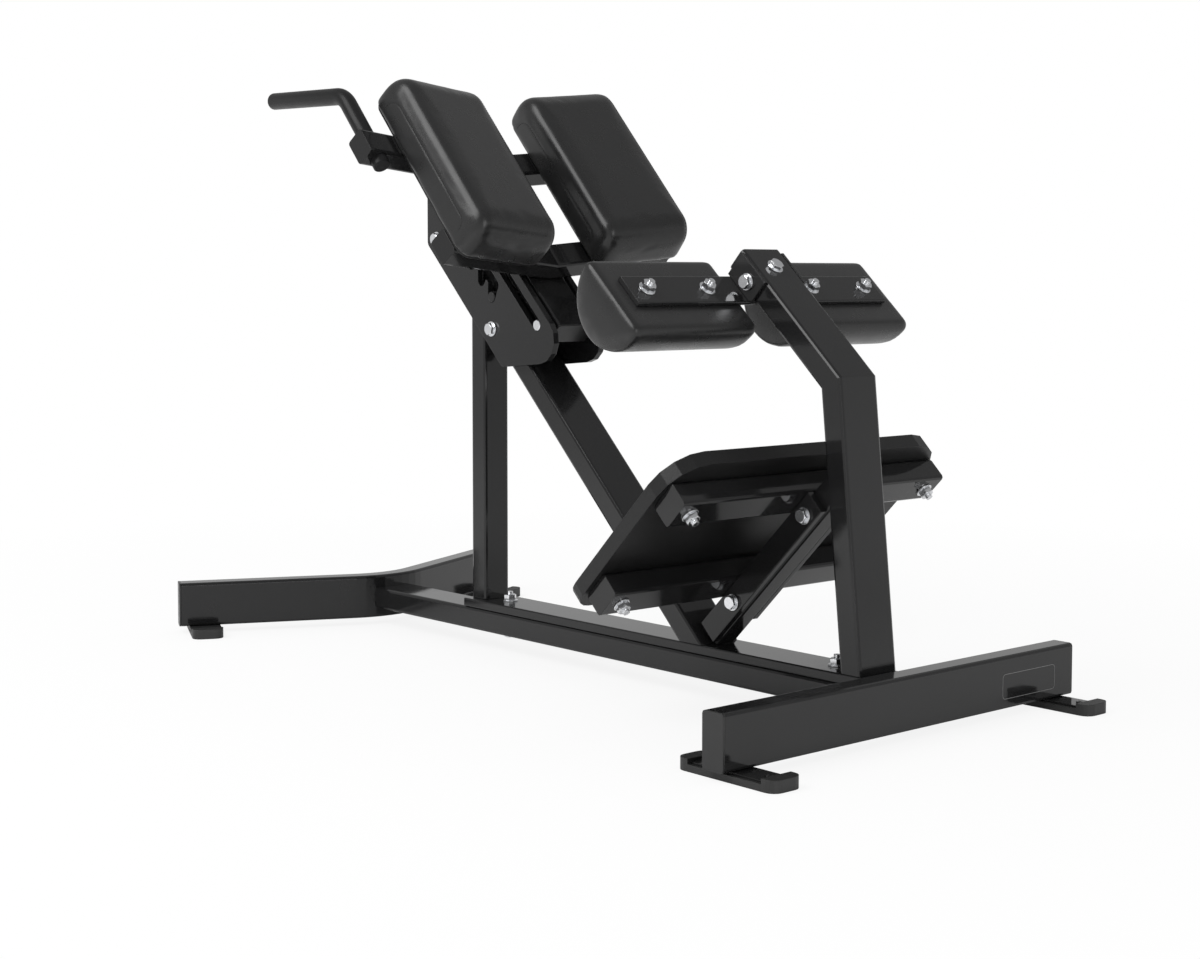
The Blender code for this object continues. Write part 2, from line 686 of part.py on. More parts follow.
# Side plates with their slot and latch pockets, bolted through packers to the brace
slide_slot = arc((0, 0), SLOT_HALF, math.pi / 2, -math.pi / 2, 8)
slide_slot += arc((-TRAVEL, 0), SLOT_HALF, -math.pi / 2, -3 * math.pi / 2, 8)
plates = {}
packers = {}
bolt_low_s = PLATE_BOLT_S[0][1]
bolt_top_s = PLATE_BOLT_S[1][1]
for side_name, side in SIDES:
    skin = PLATE_OUT if side > 0 else -PLATE_IN
    plates[side_name] = prism("side_plate_" + side_name, plate_outline(),
                              facing(slope(0, skin, 0), DOWN, OUT), PLATE_T, paint,
                              (slide_slot, latch_outline()))
    packer_y = side * (PLATE_IN - GAP - PACKER_T / 2)
    packer_path = [slope(bolt_top_s - PACKER_END, packer_y, PLATE_BOLT_N),
                   slope(bolt_low_s + PACKER_END, packer_y, PLATE_BOLT_N)]
    packer_outline = rounded_box(PACKER_T, PACKER_W, GAP)
    packers[side_name] = bar("plate_packer_" + side_name, packer_path, ACROSS, packer_outline, paint)
for bolt_name, bolt_s in PLATE_BOLT_S:
    layers = [plates["near"], packers["near"], brace, packers["far"], plates["far"]]
    bolt("plate_bolt_" + bolt_name, layers, slope(bolt_s, -PLATE_OUT, PLATE_BOLT_N), ACROSS, 2 * PLATE_OUT)


def pin(name, s, n):
    """A bright pin across both side plates, its ends just proud of them."""
    half = PLATE_OUT + PIN_PROUD
    sides = 2 * ROUND_SIDES
    body = circle(PIN_R, sides=sides)
    face = circle(PIN_R - PIN_CHAMFER, sides=sides)
    steps = [(-half, face), (PIN_CHAMFER - half, body), (half - PIN_CHAMFER, body), (half, face)]
    return stacked(name, steps, pointing(slope(s, 0, n), ACROSS), steel)


# Carriage: a slide pin through the tube, and the latch pin in its yoke under the tube
pin("slide_pin", 0, 0)
carriage_low = slope(CARRIAGE_LOW_S - CAP_T - GAP, 0, CARRIAGE_N)
carriage_path = [carriage_low, upper(0, 0, 0), upper(CARRIAGE_TOP_T, 0, 0)]
carriage = tube("carriage_tube", carriage_path, ACROSS, WIDE_TUBE, paint, closed=True)
drill([carriage], slope(0, -TUBE_W / 2, 0), ACROSS, TUBE_W + HOLE_RUNOUT, PIN_R + GAP, 2 * ROUND_SIDES)
end_cap("carriage_end_cap", slope(CARRIAGE_LOW_S, 0, CARRIAGE_N), ACROSS, -DOWN, CARRIAGE_PLUG)
latch_from_bend = slope(LATCH_S, 0, LATCH_N) - upper(0, 0, 0)
latch_t = latch_from_bend.dot(STEEP_DOWN)
latch_m = latch_from_bend.dot(STEEP_OUT)
yoke_half = TUBE_W / 2
cheek_in = yoke_half - YOKE_CHEEK
yoke_low = latch_m - YOKE_EDGE
web_m = -SEAT - YOKE_WEB
yoke_outline = [(-yoke_half, yoke_low), (-cheek_in, yoke_low), (-cheek_in, web_m), (cheek_in, web_m),
                (cheek_in, yoke_low), (yoke_half, yoke_low), (yoke_half, -SEAT), (-yoke_half, -SEAT)]
yoke = prism("latch_yoke", yoke_outline, facing(upper(latch_t - YOKE_L / 2, 0, 0), ACROSS, STEEP_OUT),
             YOKE_L, paint)
drill([yoke], slope(LATCH_S, -yoke_half, LATCH_N), ACROSS, TUBE_W + HOLE_RUNOUT, PIN_R + GAP,
      2 * ROUND_SIDES)
pin("latch_pin", LATCH_S, LATCH_N)


def arm(side):
    """The outward direction of a crossbar arm, and the direction square to its top face."""
    out = ACROSS * (side * math.cos(CROSSBAR_V)) + STEEP_OUT * math.sin(CROSSBAR_V)
    lift = STEEP_OUT * math.cos(CROSSBAR_V) - ACROSS * (side * math.sin(CROSSBAR_V))
    return out, lift


def arm_point(side, t, along, over=0):
    """A point on a crossbar arm: along the carriage, out along the arm and above its centre line."""
    out, lift = arm(side)
    return upper(t, 0, CROSSBAR_OVER) + out * along + lift * over


def handle_path(side):
    """The centre line of a handle: up through the crossbar, then bent back to the rear."""
    along = UPPER_BAR_HALF - HANDLE_INSET
    low_t = UPPER_BAR_T + CROSSBAR_W / 2 + HANDLE_STUB
    turn_t = UPPER_BAR_T - CROSSBAR_W / 2 - HANDLE_RISE
    start = arm_point(side, turn_t, along)
    centre = start - STEEP_OUT * HANDLE_BEND_R
    path = [arm_point(side, low_t, along)]
    for across, up in arc((0, 0), HANDLE_BEND_R, 0, SLOPE + CARRIAGE_LEAN - HANDLE_TILT, 6):
        path.append(centre + STEEP_OUT * across - STEEP_DOWN * up)
    path.append(path[-1] + (UP * math.sin(HANDLE_TILT) - FRONT * math.cos(HANDLE_TILT)) * HANDLE_GRIP)
    return path


# Crossbars on the carriage, the handles through the upper one, and holes for the pad screws
crossbar_tube = box_tube(CROSSBAR_W, CROSSBAR_T)
crossbars = {}
for bar_name, bar_t, half in (("lower", LOWER_BAR_T, LOWER_BAR_HALF), ("upper", UPPER_BAR_T, UPPER_BAR_HALF)):
    path = [arm_point(-1, bar_t, half), upper(bar_t, 0, CROSSBAR_OVER), arm_point(1, bar_t, half)]
    crossbar = bar("crossbar_" + bar_name, path, STEEP_DOWN, crossbar_tube[0], paint)
    crossbars[bar_name] = crossbar
    for side_name, side in SIDES:
        under = arm_point(side, bar_t, (HIP_IN + HIP_OUT) / 2, -CROSSBAR_T / 2)
        drill([crossbar], under, arm(side)[1], CROSSBAR_T + HOLE_RUNOUT)
    if bar_name == "upper":
        for side_name, side in SIDES:
            route = handle_path(side)
            round_tube = (circle(HANDLE_R), circle(HANDLE_R - HANDLE_WALL))
            tube("handle_" + side_name, route, ACROSS, round_tube, paint, closed=True)
            drill([crossbar], arm_point(side, bar_t + CROSSBAR_W / 2, half - HANDLE_INSET), -STEEP_DOWN,
                  CROSSBAR_W + HOLE_RUNOUT, (HANDLE_R + GAP) / math.cos(math.pi / ROUND_SIDES))
    hollow(crossbar, path, STEEP_DOWN, crossbar_tube)


def cushion(name, outline, place, width, edge):
    """A padded roll: an outline carried across its width, its two ends drawn in to rounded edges."""
    steps = []
    for step in range(4):
        angle = math.pi / 2 * step / 3
        inset = edge * (1 - math.sin(angle))
        steps.append((edge * (1 - math.cos(angle)), outline(inset, 0)))
    for share in (0.25, 0.5, 0.75):
        crown = 1 - (2 * share - 1) ** 2
        steps.append((edge + (width - 2 * edge) * share, outline(0, crown)))
    mirrored = [(width - height, ring) for height, ring in reversed(steps[:4])]
    return stacked(name, steps + mirrored, place, leather)


def hip_outline(inset, crown):
    """The side view of a hip pad: flat underneath, with a round and slightly crowned top."""
    end_x = (HIP_LOW_T - HIP_TOP_T) / 2 - inset
    top_y = HIP_T / 2 - inset + HIP_CROWN * crown
    base_y = -HIP_T / 2
    return rounded_polygon([(-end_x, base_y, HIP_BASE_R), (end_x, base_y, HIP_BASE_R),
                            (end_x, top_y, HIP_LOW_R - inset / 2), (-end_x, top_y, HIP_TOP_R - inset / 2)])


def ankle_outline(inset, crown):
    """The end view of an ankle pad: a D with its flat side on the bar."""
    radius = ANKLE_PAD_R - inset + HIP_CROWN * crown
    flat = ANKLE_PAD_FLAT - inset
    corner_r = ANKLE_PAD_CORNER_R - inset / 2
    swing = math.asin((flat - corner_r) / (radius - corner_r))
    reach = (radius - corner_r) * math.cos(swing)
    points = arc((0, 0), radius, math.pi - swing, 2 * math.pi + swing, 14)
    points += arc((reach, flat - corner_r), corner_r, swing, math.pi / 2, 3)[1:]
    points += arc((-reach, flat - corner_r), corner_r, math.pi / 2, math.pi - swing, 3)[:-1]
    return points


# Hip pads on the arms of both crossbars
for side_name, side in SIDES:
    out, lift = arm(side)
    centre = arm_point(side, (HIP_LOW_T + HIP_TOP_T) / 2, HIP_IN, CROSSBAR_T / 2 + GAP + HIP_T / 2)
    place = Matrix((STEEP_DOWN, lift, out)).transposed().to_4x4()
    place.translation = centre
    cushion("hip_pad_" + side_name, hip_outline, place, HIP_OUT - HIP_IN, HIP_EDGE_R)

# Front post, open below and closed on top, leaning back over its upper part
post_foot = Vector((POST_FOOT_X, 0, post_ground))
post_bend = Vector((POST_BEND_X, 0, POST_BEND_Z))
post_top = Vector((POST_TOP_X, 0, POST_TOP_Z))
post = tube("front_post", [post_foot, post_bend, post_top], ACROSS, WIDE_TUBE, paint, (UP, None), True)

# Ankle bracket round the top of the post, its bolts, and the bar behind it
post_down = (post_bend - post_top).normalized()
post_out = post_down.cross(ACROSS)
ankle = post_top + post_down * ANKLE_DOWN
cheek_out = BRACKET_IN + BRACKET_T
cheek_front = BRACKET_CHEEK - TUBE_T / 2
web_in = -TUBE_T / 2 - GAP
bracket_outline = [(-cheek_out, -BRACKET_BACK), (cheek_out, -BRACKET_BACK), (cheek_out, cheek_front),
                   (BRACKET_IN, cheek_front), (BRACKET_IN, web_in), (-BRACKET_IN, web_in),
                   (-BRACKET_IN, cheek_front), (-cheek_out, cheek_front)]
bracket = prism("ankle_bracket", bracket_outline,
                facing(ankle - post_down * (BRACKET_L / 2), ACROSS, post_out), BRACKET_L, paint)
bar_place = ankle - post_out * (ANKLE_BAR_BACK - ANKLE_BAR_T / 2)
bar_ends = [bar_place - ACROSS * ANKLE_BAR_HALF, bar_place + ACROSS * ANKLE_BAR_HALF]
bar_outline = rounded_box(ANKLE_BAR_W, ANKLE_BAR_T, RUNNER_R)
ankle_bar = bar("ankle_bar", bar_ends, post_down, bar_outline, paint)
bolt_place = ankle + post_down * BRACKET_BOLT_DOWN - post_out * BRACKET_BOLT_BACK
for side_name, side in SIDES:
    head = bolt_place + ACROSS * (side * cheek_out)
    bolt("bracket_side_bolt_" + side_name, [bracket, post], head, ACROSS * -side,
         BRACKET_T + GAP + TUBE_WALL, nut=False)
front_face = ankle + post_out * (TUBE_T / 2)
bolt("bracket_front_bolt", [post, bracket, ankle_bar], front_face, -post_out, TUBE_T / 2 + ANKLE_BAR_BACK)

# Ankle pads on the back of the bar, each held by two studs
for side_name, side in SIDES:
    centre = ankle - post_out * (ANKLE_BAR_BACK + GAP + ANKLE_PAD_FLAT) + ACROSS * (side * ANKLE_PAD_IN)
    place = Matrix((post_down, post_out, ACROSS * side)).transposed().to_4x4()
    place.translation = centre
    pad = cushion("ankle_pad_" + side_name, ankle_outline, place, ANKLE_PAD_OUT - ANKLE_PAD_IN, ANKLE_EDGE_R)
    for stud_name, stud_y in ANKLE_NUT_Y:
        seat = ankle - post_out * (ANKLE_BAR_BACK - ANKLE_BAR_T) + ACROSS * (side * stud_y)
        stud("ankle_pad_nut_%s_%s" % (side_name, stud_name), [ankle_bar, pad], seat, -post_out,
             ANKLE_BAR_T + PAD_THREAD)

# Foot board and its two bars
board_corners = [(-BOARD_HALF, BOARD_LOW_N, BOARD_LOW_R), (BOARD_HALF, BOARD_LOW_N, BOARD_LOW_R),
                 (BOARD_HALF, BOARD_TOP_N, BOARD_TOP_R), (-BOARD_HALF, BOARD_TOP_N, BOARD_TOP_R)]
board = prism("foot_board", rounded_polygon(board_corners), facing(slope(BOARD_S, 0, 0), ACROSS, OUT),
              BOARD_T, board_black)
foot_bar_tube = box_tube(NARROW_W, TUBE_T)
for bar_name, bar_n in FOOT_BAR_N:
    bar_s = FOOT_BAR_S + TUBE_T / 2
    path = [slope(bar_s, -FOOT_BAR_HALF, bar_n), slope(bar_s, FOOT_BAR_HALF, bar_n)]
    foot_bar = bar("foot_bar_" + bar_name, path, OUT, foot_bar_tube[0], paint)
    for side_name, side in SIDES:
        seat = slope(FOOT_BAR_S + TUBE_T, side * FOOT_BOLT_Y, bar_n)
        stud("foot_board_bolt_%s_%s" % (bar_name, side_name), [foot_bar, board], seat, -DOWN,
             TUBE_T + GAP + PAD_THREAD)
    hollow(foot_bar, path, OUT, foot_bar_tube)

# Strut from the brace to the front post, with a plate bolted on each side
clear_s = STRUT_S + SQUARE_W
clear_n = (post_ground - PIN_Z + clear_s * math.sin(SLOPE)) / math.cos(SLOPE)
clear_n = max(clear_n, BRACE_OVER)
strut_foot = slope(STRUT_MID_S, 0, (BRACE_OVER + clear_n) / 2)
foot_cut = (OUT * SQUARE_W - DOWN * (clear_n - BRACE_OVER)).normalized()
post_up = (post_bend - post_foot).normalized()
post_back = post_up.cross(ACROSS)
post_face = post_foot + post_back * (TUBE_T / 2 + GAP)
strut_top = meet(strut_foot, OUT, post_face, post_back)
strut = tube("strut_tube", [strut_foot, strut_top], ACROSS, box_tube(SQUARE_W, SQUARE_W), paint,
             (foot_cut, post_back))
strut_plates = {}
plate_out = STRUT_PLATE_IN + STRUT_PLATE_T
for side_name, side in SIDES:
    plate_y = side * (STRUT_PLATE_IN + STRUT_PLATE_T / 2)
    plate_s = STRUT_S + STRUT_PLATE_W / 2
    plate_path = [slope(plate_s, plate_y, STRUT_PLATE_LOW_N[side_name]),
                  slope(plate_s, plate_y, STRUT_PLATE_TOP_N[side_name])]
    plate_section = rounded_box(STRUT_PLATE_T, STRUT_PLATE_W, RUNNER_R / 2)
    strut_plates[side_name] = bar("strut_plate_" + side_name, plate_path, ACROSS, plate_section, paint)
for bolt_name, bolt_n in STRUT_BOLT_N:
    layers = [strut_plates["near"], strut, strut_plates["far"]]
    bolt("strut_bolt_" + bolt_name, layers, slope(STRUT_MID_S, -plate_out, bolt_n), ACROSS, 2 * plate_out)

# The slide pin's line is the turning axis of the carriage, so its pieces have their origins on it
MOVING = ["slide_pin", "carriage_tube", "carriage_end_cap", "latch_yoke", "latch_pin", "crossbar_lower",
          "crossbar_upper", "handle_near", "handle_far", "hip_pad_near", "hip_pad_far"]
turning_axis = slope(0, 0, 0)
for moving_name in MOVING:
    piece = bpy.data.objects[moving_name]
    piece.data.transform(Matrix.Translation(-turning_axis))
    piece.location = turning_axis
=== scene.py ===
import math

import bmesh
import bpy
import numpy as np
from mathutils import Matrix, Vector
from mathutils.bvhtree import BVHTree
from mathutils.kdtree import KDTree


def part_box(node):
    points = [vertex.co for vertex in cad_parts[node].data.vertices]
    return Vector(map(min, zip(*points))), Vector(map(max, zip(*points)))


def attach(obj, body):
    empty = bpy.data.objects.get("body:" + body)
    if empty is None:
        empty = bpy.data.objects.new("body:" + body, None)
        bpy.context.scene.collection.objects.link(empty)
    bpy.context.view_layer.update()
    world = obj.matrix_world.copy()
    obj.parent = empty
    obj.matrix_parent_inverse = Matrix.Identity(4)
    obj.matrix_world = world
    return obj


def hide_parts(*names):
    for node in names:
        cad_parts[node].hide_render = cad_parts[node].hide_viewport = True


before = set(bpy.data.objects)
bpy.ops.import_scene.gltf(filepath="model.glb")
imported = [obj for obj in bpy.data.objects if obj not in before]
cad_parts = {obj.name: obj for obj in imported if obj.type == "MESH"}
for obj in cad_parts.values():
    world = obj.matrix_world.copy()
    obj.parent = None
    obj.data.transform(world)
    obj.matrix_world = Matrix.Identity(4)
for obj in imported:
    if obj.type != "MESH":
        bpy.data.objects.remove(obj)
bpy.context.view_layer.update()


# Painted steel: the box tubes, plates, flat bars and brackets of the bench, welded or bolted
# together and powder coated in one smooth near-black gloss. The coat is a little thinner over the
# edges, so they catch the light as fine bright lines.
FRAME_PAINTED = ("front_cross_foot", "rear_cross_foot", "foot_strip_front_near",
                 "foot_strip_front_far", "lower_rail", "runner_bar", "rear_post", "brace_tube",
                 "front_post", "side_plate_near", "side_plate_far", "plate_packer_near",
                 "plate_packer_far", "ankle_bracket", "ankle_bar", "foot_bar_upper",
                 "foot_bar_lower", "strut_tube", "strut_plate_near", "strut_plate_far",
                 "carriage_tube", "latch_yoke", "latch_pin", "crossbar_lower", "crossbar_upper")
PAINT_LIGHT = (0.0125, 0.0125, 0.0128, 1)
PAINT_DARK = (0.0095, 0.0095, 0.0098, 1)
PAINT_CLOUD = 9.0
PAINT_SMEAR = 55.0
PAINT_PEEL = 620.0
PEEL_DEEP = 0.000012
PAINT_EDGE = 0.0013
PAINT_ROUGH = (0.07, 0.12)
PAINT_SHINE = 0.42
EDGE_SAMPLES = 4


def feed(tree, node, inputs):
    """Set a node's inputs from values or from other nodes' outputs."""
    for place, value in inputs.items():
        if isinstance(value, bpy.types.NodeSocket):
            tree.links.new(value, node.inputs[place])
        else:
            node.inputs[place].default_value = value


def add(tree, kind, inputs=None, **settings):
    """One new node of a tree, with its settings and inputs, as its first output."""
    node = tree.nodes.new(kind)
    for setting, value in settings.items():
        setattr(node, setting, value)
    feed(tree, node, inputs or {})
    return node.outputs[0]


def blank_finish(name):
    """A new node material: the material, its tree, its shader and the piece's own coordinates."""
    material = bpy.data.materials.new(name)
    material.use_nodes = True
    tree = material.node_tree
    place = tree.nodes.new("ShaderNodeTexCoord").outputs["Object"]
    return material, tree, tree.nodes["Principled BSDF"], place


def mottle(tree, place, scale, detail=2.0):
    """A noise factor at a scale."""
    return add(tree, "ShaderNodeTexNoise", {"Vector": place, "Scale": scale, "Detail": detail})


def tint(tree, factor, first, second):
    """A colour that runs from the first to the second with a factor."""
    mix = tree.nodes.new("ShaderNodeMix")
    mix.data_type = "RGBA"
    feed(tree, mix, {"Factor": factor, "A": first, "B": second})
    return mix.outputs["Result"]


def span(tree, factor, low, high, start=0.3, end=0.7):
    """A value that runs from low to high as a factor runs from start to end."""
    return add(tree, "ShaderNodeMapRange", {"Value": factor, "From Min": start, "From Max": end,
                                            "To Min": low, "To Max": high})


def relief(tree, height, distance, under=None):
    """A bump normal from a height, over an earlier normal where one is given."""
    inputs = {"Height": height, "Distance": distance}
    if under is not None:
        inputs["Normal"] = under
    return add(tree, "ShaderNodeBump", inputs)


def soft_edges(tree, radius):
    """A normal that rounds edges by a small radius."""
    return add(tree, "ShaderNodeBevel", {"Radius": radius}, samples=EDGE_SAMPLES)


def powder_coat(name, rough, shine):
    """Smooth near-black powder coat with a very fine orange peel, rough within a range."""
    material, tree, shader, place = blank_finish(name)
    cloud = mottle(tree, place, PAINT_CLOUD)
    smear = mottle(tree, place, PAINT_SMEAR, 4.0)
    peel = mottle(tree, place, PAINT_PEEL, 1.0)
    feed(tree, shader, {"Base Color": tint(tree, cloud, PAINT_DARK, PAINT_LIGHT),
                        "Roughness": span(tree, smear, *rough),
                        "Normal": relief(tree, peel, PEEL_DEEP, soft_edges(tree, PAINT_EDGE)),
                        "Specular IOR Level": shine})
    return material


def coat_nodes(names, material):
    """Give carried-over CAD nodes a better material."""
    for name in names:
        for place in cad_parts[name].material_slots:
            place.material = material


paint = powder_coat("powder_coat", PAINT_ROUGH, PAINT_SHINE)
coat_nodes(FRAME_PAINTED, paint)


# End caps: moulded plastic plugs pushed into the open ends of the feet and of the carriage tube,
# flush with the tube, with a fine spark-eroded grain.
CAPS = ("front_foot_cap_near", "front_foot_cap_far", "rear_foot_cap_near", "rear_foot_cap_far",
        "carriage_end_cap")
CAP_DARK = (0.013, 0.013, 0.0132, 1)
CAP_LIGHT = (0.017, 0.017, 0.0172, 1)
CAP_CLOUD = 30.0
CAP_GRAIN = 1500.0
CAP_GRAIN_DEEP = 0.00003
CAP_ROUGH = (0.30, 0.40)
CAP_EDGE = 0.0016


def moulded_plastic():
    """Black moulded plastic with a fine grain."""
    material, tree, shader, place = blank_finish("moulded_plastic")
    cloud = mottle(tree, place, CAP_CLOUD)
    grain = mottle(tree, place, CAP_GRAIN, 1.0)
    feed(tree, shader, {"Base Color": tint(tree, cloud, CAP_DARK, CAP_LIGHT),
                        "Roughness": span(tree, grain, *CAP_ROUGH),
                        "Normal": relief(tree, grain, CAP_GRAIN_DEEP, soft_edges(tree, CAP_EDGE))})
    return material


coat_nodes(CAPS, moulded_plastic())


# Rubber feet: moulded black rubber blocks under both cross feet, with a raised lip at each end, a
# channel between them and rounded edges. Steel strips and screws hold the front ones.
RUBBER_FEET = ("rubber_foot_front_near", "rubber_foot_front_far", "rubber_foot_rear_near",
               "rubber_foot_rear_far")
RUBBER_DARK = (0.014, 0.014, 0.014, 1)
RUBBER_LIGHT = (0.020, 0.020, 0.020, 1)
RUBBER_CLOUD = 40.0
RUBBER_GRAIN = 900.0
RUBBER_GRAIN_DEEP = 0.00006
RUBBER_ROUGH = (0.42, 0.55)
RUBBER_EDGE = 0.0014


def moulded_rubber():
    """Matte black rubber, a little dusty in its grain."""
    material, tree, shader, place = blank_finish("moulded_rubber")
    cloud = mottle(tree, place, RUBBER_CLOUD)
    grain = mottle(tree, place, RUBBER_GRAIN, 3.0)
    edges = soft_edges(tree, RUBBER_EDGE)
    feed(tree, shader, {"Base Color": tint(tree, cloud, RUBBER_DARK, RUBBER_LIGHT),
                        "Roughness": span(tree, grain, *RUBBER_ROUGH),
                        "Normal": relief(tree, grain, RUBBER_GRAIN_DEEP, edges)})
    return material


coat_nodes(RUBBER_FEET, moulded_rubber())


# Foot board: a plastic-faced black board with rounded corners, screwed to two box bars. Its face is
# a fine pebble grain that keeps the feet from slipping.
BOARD_DARK = (0.0070, 0.0070, 0.0072, 1)
BOARD_LIGHT = (0.0080, 0.0080, 0.0082, 1)
BOARD_CLOUD = 12.0
BOARD_SMEAR = 180.0
BOARD_PEBBLE = 420.0
PEBBLE_DEEP = 0.00012
BOARD_ROUGH = (0.37, 0.41)
BOARD_SHINE = 0.36
BOARD_EDGE = 0.0016


def pebbled_board():
    """Black board facing with a fine pebble."""
    material, tree, shader, place = blank_finish("pebbled_board")
    cloud = mottle(tree, place, BOARD_CLOUD)
    smear = mottle(tree, place, BOARD_SMEAR)
    pebble = add(tree, "ShaderNodeTexVoronoi", {"Vector": place, "Scale": BOARD_PEBBLE})
    feed(tree, shader, {"Base Color": tint(tree, cloud, BOARD_DARK, BOARD_LIGHT),
                        "Roughness": span(tree, smear, *BOARD_ROUGH),
                        "Normal": relief(tree, pebble, PEBBLE_DEEP, soft_edges(tree, BOARD_EDGE)),
                        "Specular IOR Level": BOARD_SHINE})
    return material


board_facing = pebbled_board()
coat_nodes(("foot_board",), board_facing)


# Slide pin: turned and polished bright steel, through the carriage tube and the slots of both side
# plates. The latch pin is painted with its yoke.
ZINC_DARK = (0.72, 0.73, 0.75, 1)
ZINC_LIGHT = (0.88, 0.89, 0.91, 1)
ZINC_SPANGLE = 260.0
ZINC_SMEAR = 700.0
SPANGLE_DEEP = 0.00002
ZINC_ROUGH = (0.14, 0.24)
ZINC_EDGE = 0.0007


def bright_zinc():
    """Bright zinc plate over turned steel."""
    material, tree, shader, place = blank_finish("bright_zinc")
    spangle = mottle(tree, place, ZINC_SPANGLE, 3.0)
    smear = mottle(tree, place, ZINC_SMEAR)
    feed(tree, shader, {"Base Color": tint(tree, spangle, ZINC_DARK, ZINC_LIGHT),
                        "Roughness": span(tree, smear, *ZINC_ROUGH),
                        "Normal": relief(tree, spangle, SPANGLE_DEEP, soft_edges(tree, ZINC_EDGE)),
                        "Metallic": 1.0})
    return material


zinc = bright_zinc()
coat_nodes(("slide_pin",), zinc)


# Bolts, studs and nuts: M10 hexagon heads with a chamfered crown over a plain washer, and on the
# other end a washer, a nut and a stub of rolled thread. All are zinc plated and tightened by hand.
ACROSS = Vector((0, 1, 0))
UP = Vector((0, 0, 1))
FRONT = Vector((1, 0, 0))
HEX_FLAT = 0.0091
HEAD_T = 0.0065
NUT_T = 0.0090
WASHER_R = 0.0125
WASHER_T = 0.0025
WASHER_EDGE = 0.0004
SHANK_R = 0.005
THREAD_OUT = 0.005
THREAD_PITCH = 0.00125
RIDGE_DEEP = 0.05
SEAT_GAP = 0.0003
STUB_CORE = 0.001
HEX_FACE = 0.95
HEX_SLOPE = 0.577
HEX_TURN = math.pi / 3
END_LEVEL = 0.3
SOCKET_WIDE = 0.4
ROUND_POINTS = 36
THREAD_POINTS = 20
THREAD_RINGS = 9
SHANK_POINTS = 16
POST_BEND = Vector((0.5548, 0, 0.4794))
POST_TOP = Vector((0.3726, 0, 0.6503))
SOCKET_KINDS = {"Geometry": "Geometry", "Turn Seed": "Int", "Material": "Material"}
post_slant = (POST_BEND - POST_TOP).normalized()
post_face = post_slant.cross(ACROSS)
board_down = (FRONT - UP).normalized()


def named(start):
    """The CAD nodes whose names start the same way, in order."""
    return [name for name in sorted(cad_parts) if name.startswith(start)]


# Each bolt's name, the way from its outer end inwards, and its two ends
BOLTS = [("rail_bolt_rear", UP, "head", "nut"), ("rail_bolt_front", UP, "head", "nut"),
         ("plate_bolt_lower", ACROSS, "head", "nut"), ("plate_bolt_upper", ACROSS, "head", "nut"),
         ("strut_bolt_upper", ACROSS, "head", "nut"), ("strut_bolt_lower", ACROSS, "head", "nut"),
         ("bracket_side_bolt_near", ACROSS, "head", None),
         ("bracket_side_bolt_far", -ACROSS, "head", None),
         ("bracket_front_bolt", -post_face, "head", "nut")]
BOLTS += [(name, -board_down, "nut", None) for name in named("foot_board_bolt")]
BOLTS += [(name, -post_face, "nut", None) for name in named("ankle_pad_nut")]


def reach(node, direction):
    """How far a CAD node reaches along a direction, lowest and highest."""
    along = [vertex.co.dot(direction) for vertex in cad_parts[node].data.vertices]
    return min(along), max(along)


def bolt_ends(name, inward, outer, inner):
    """The ends of one bolt: seat, outward direction, whether a nut, and the shank behind it."""
    side = ACROSS if abs(inward.y) < 0.5 else UP
    third = inward.cross(side)
    low, high = reach(name, inward)
    centre = sum((axis * (sum(reach(name, axis)) / 2) for axis in (side, third)), Vector())
    seat = low + (HEAD_T if outer == "head" else NUT_T + THREAD_OUT) + WASHER_T + SEAT_GAP
    far = high - THREAD_OUT - NUT_T - WASHER_T - SEAT_GAP if inner else high
    ends = [(centre + inward * seat, -inward, outer == "nut", far - seat)]
    if inner:
        ends.append((centre + inward * far, inward, True, STUB_CORE))
    return ends


def geometry_tree(name, *sizes):
    """A new geometry tree with its named inputs."""
    tree = bpy.data.node_groups.new(name, "GeometryNodeTree")
    for size in ("Geometry", *sizes, "Material"):
        kind = "NodeSocket" + SOCKET_KINDS.get(size, "Float")
        tree.interface.new_socket(size, in_out="INPUT", socket_type=kind)
    tree.interface.new_socket("Geometry", in_out="OUTPUT", socket_type="NodeSocketGeometry")
    return tree, tree.nodes.new("NodeGroupInput").outputs


def calc(tree, operation, *values):
    """One step of arithmetic in a tree."""
    return add(tree, "ShaderNodeMath", dict(enumerate(values)), operation=operation)


def joined(tree, x, y, z):
    """A vector from its three numbers."""
    return add(tree, "ShaderNodeCombineXYZ", {0: x, 1: y, 2: z})


def parted(tree, vector):
    """The three numbers of a vector."""
    node = tree.nodes.new("ShaderNodeSeparateXYZ")
    tree.links.new(vector, node.inputs[0])
    return node.outputs


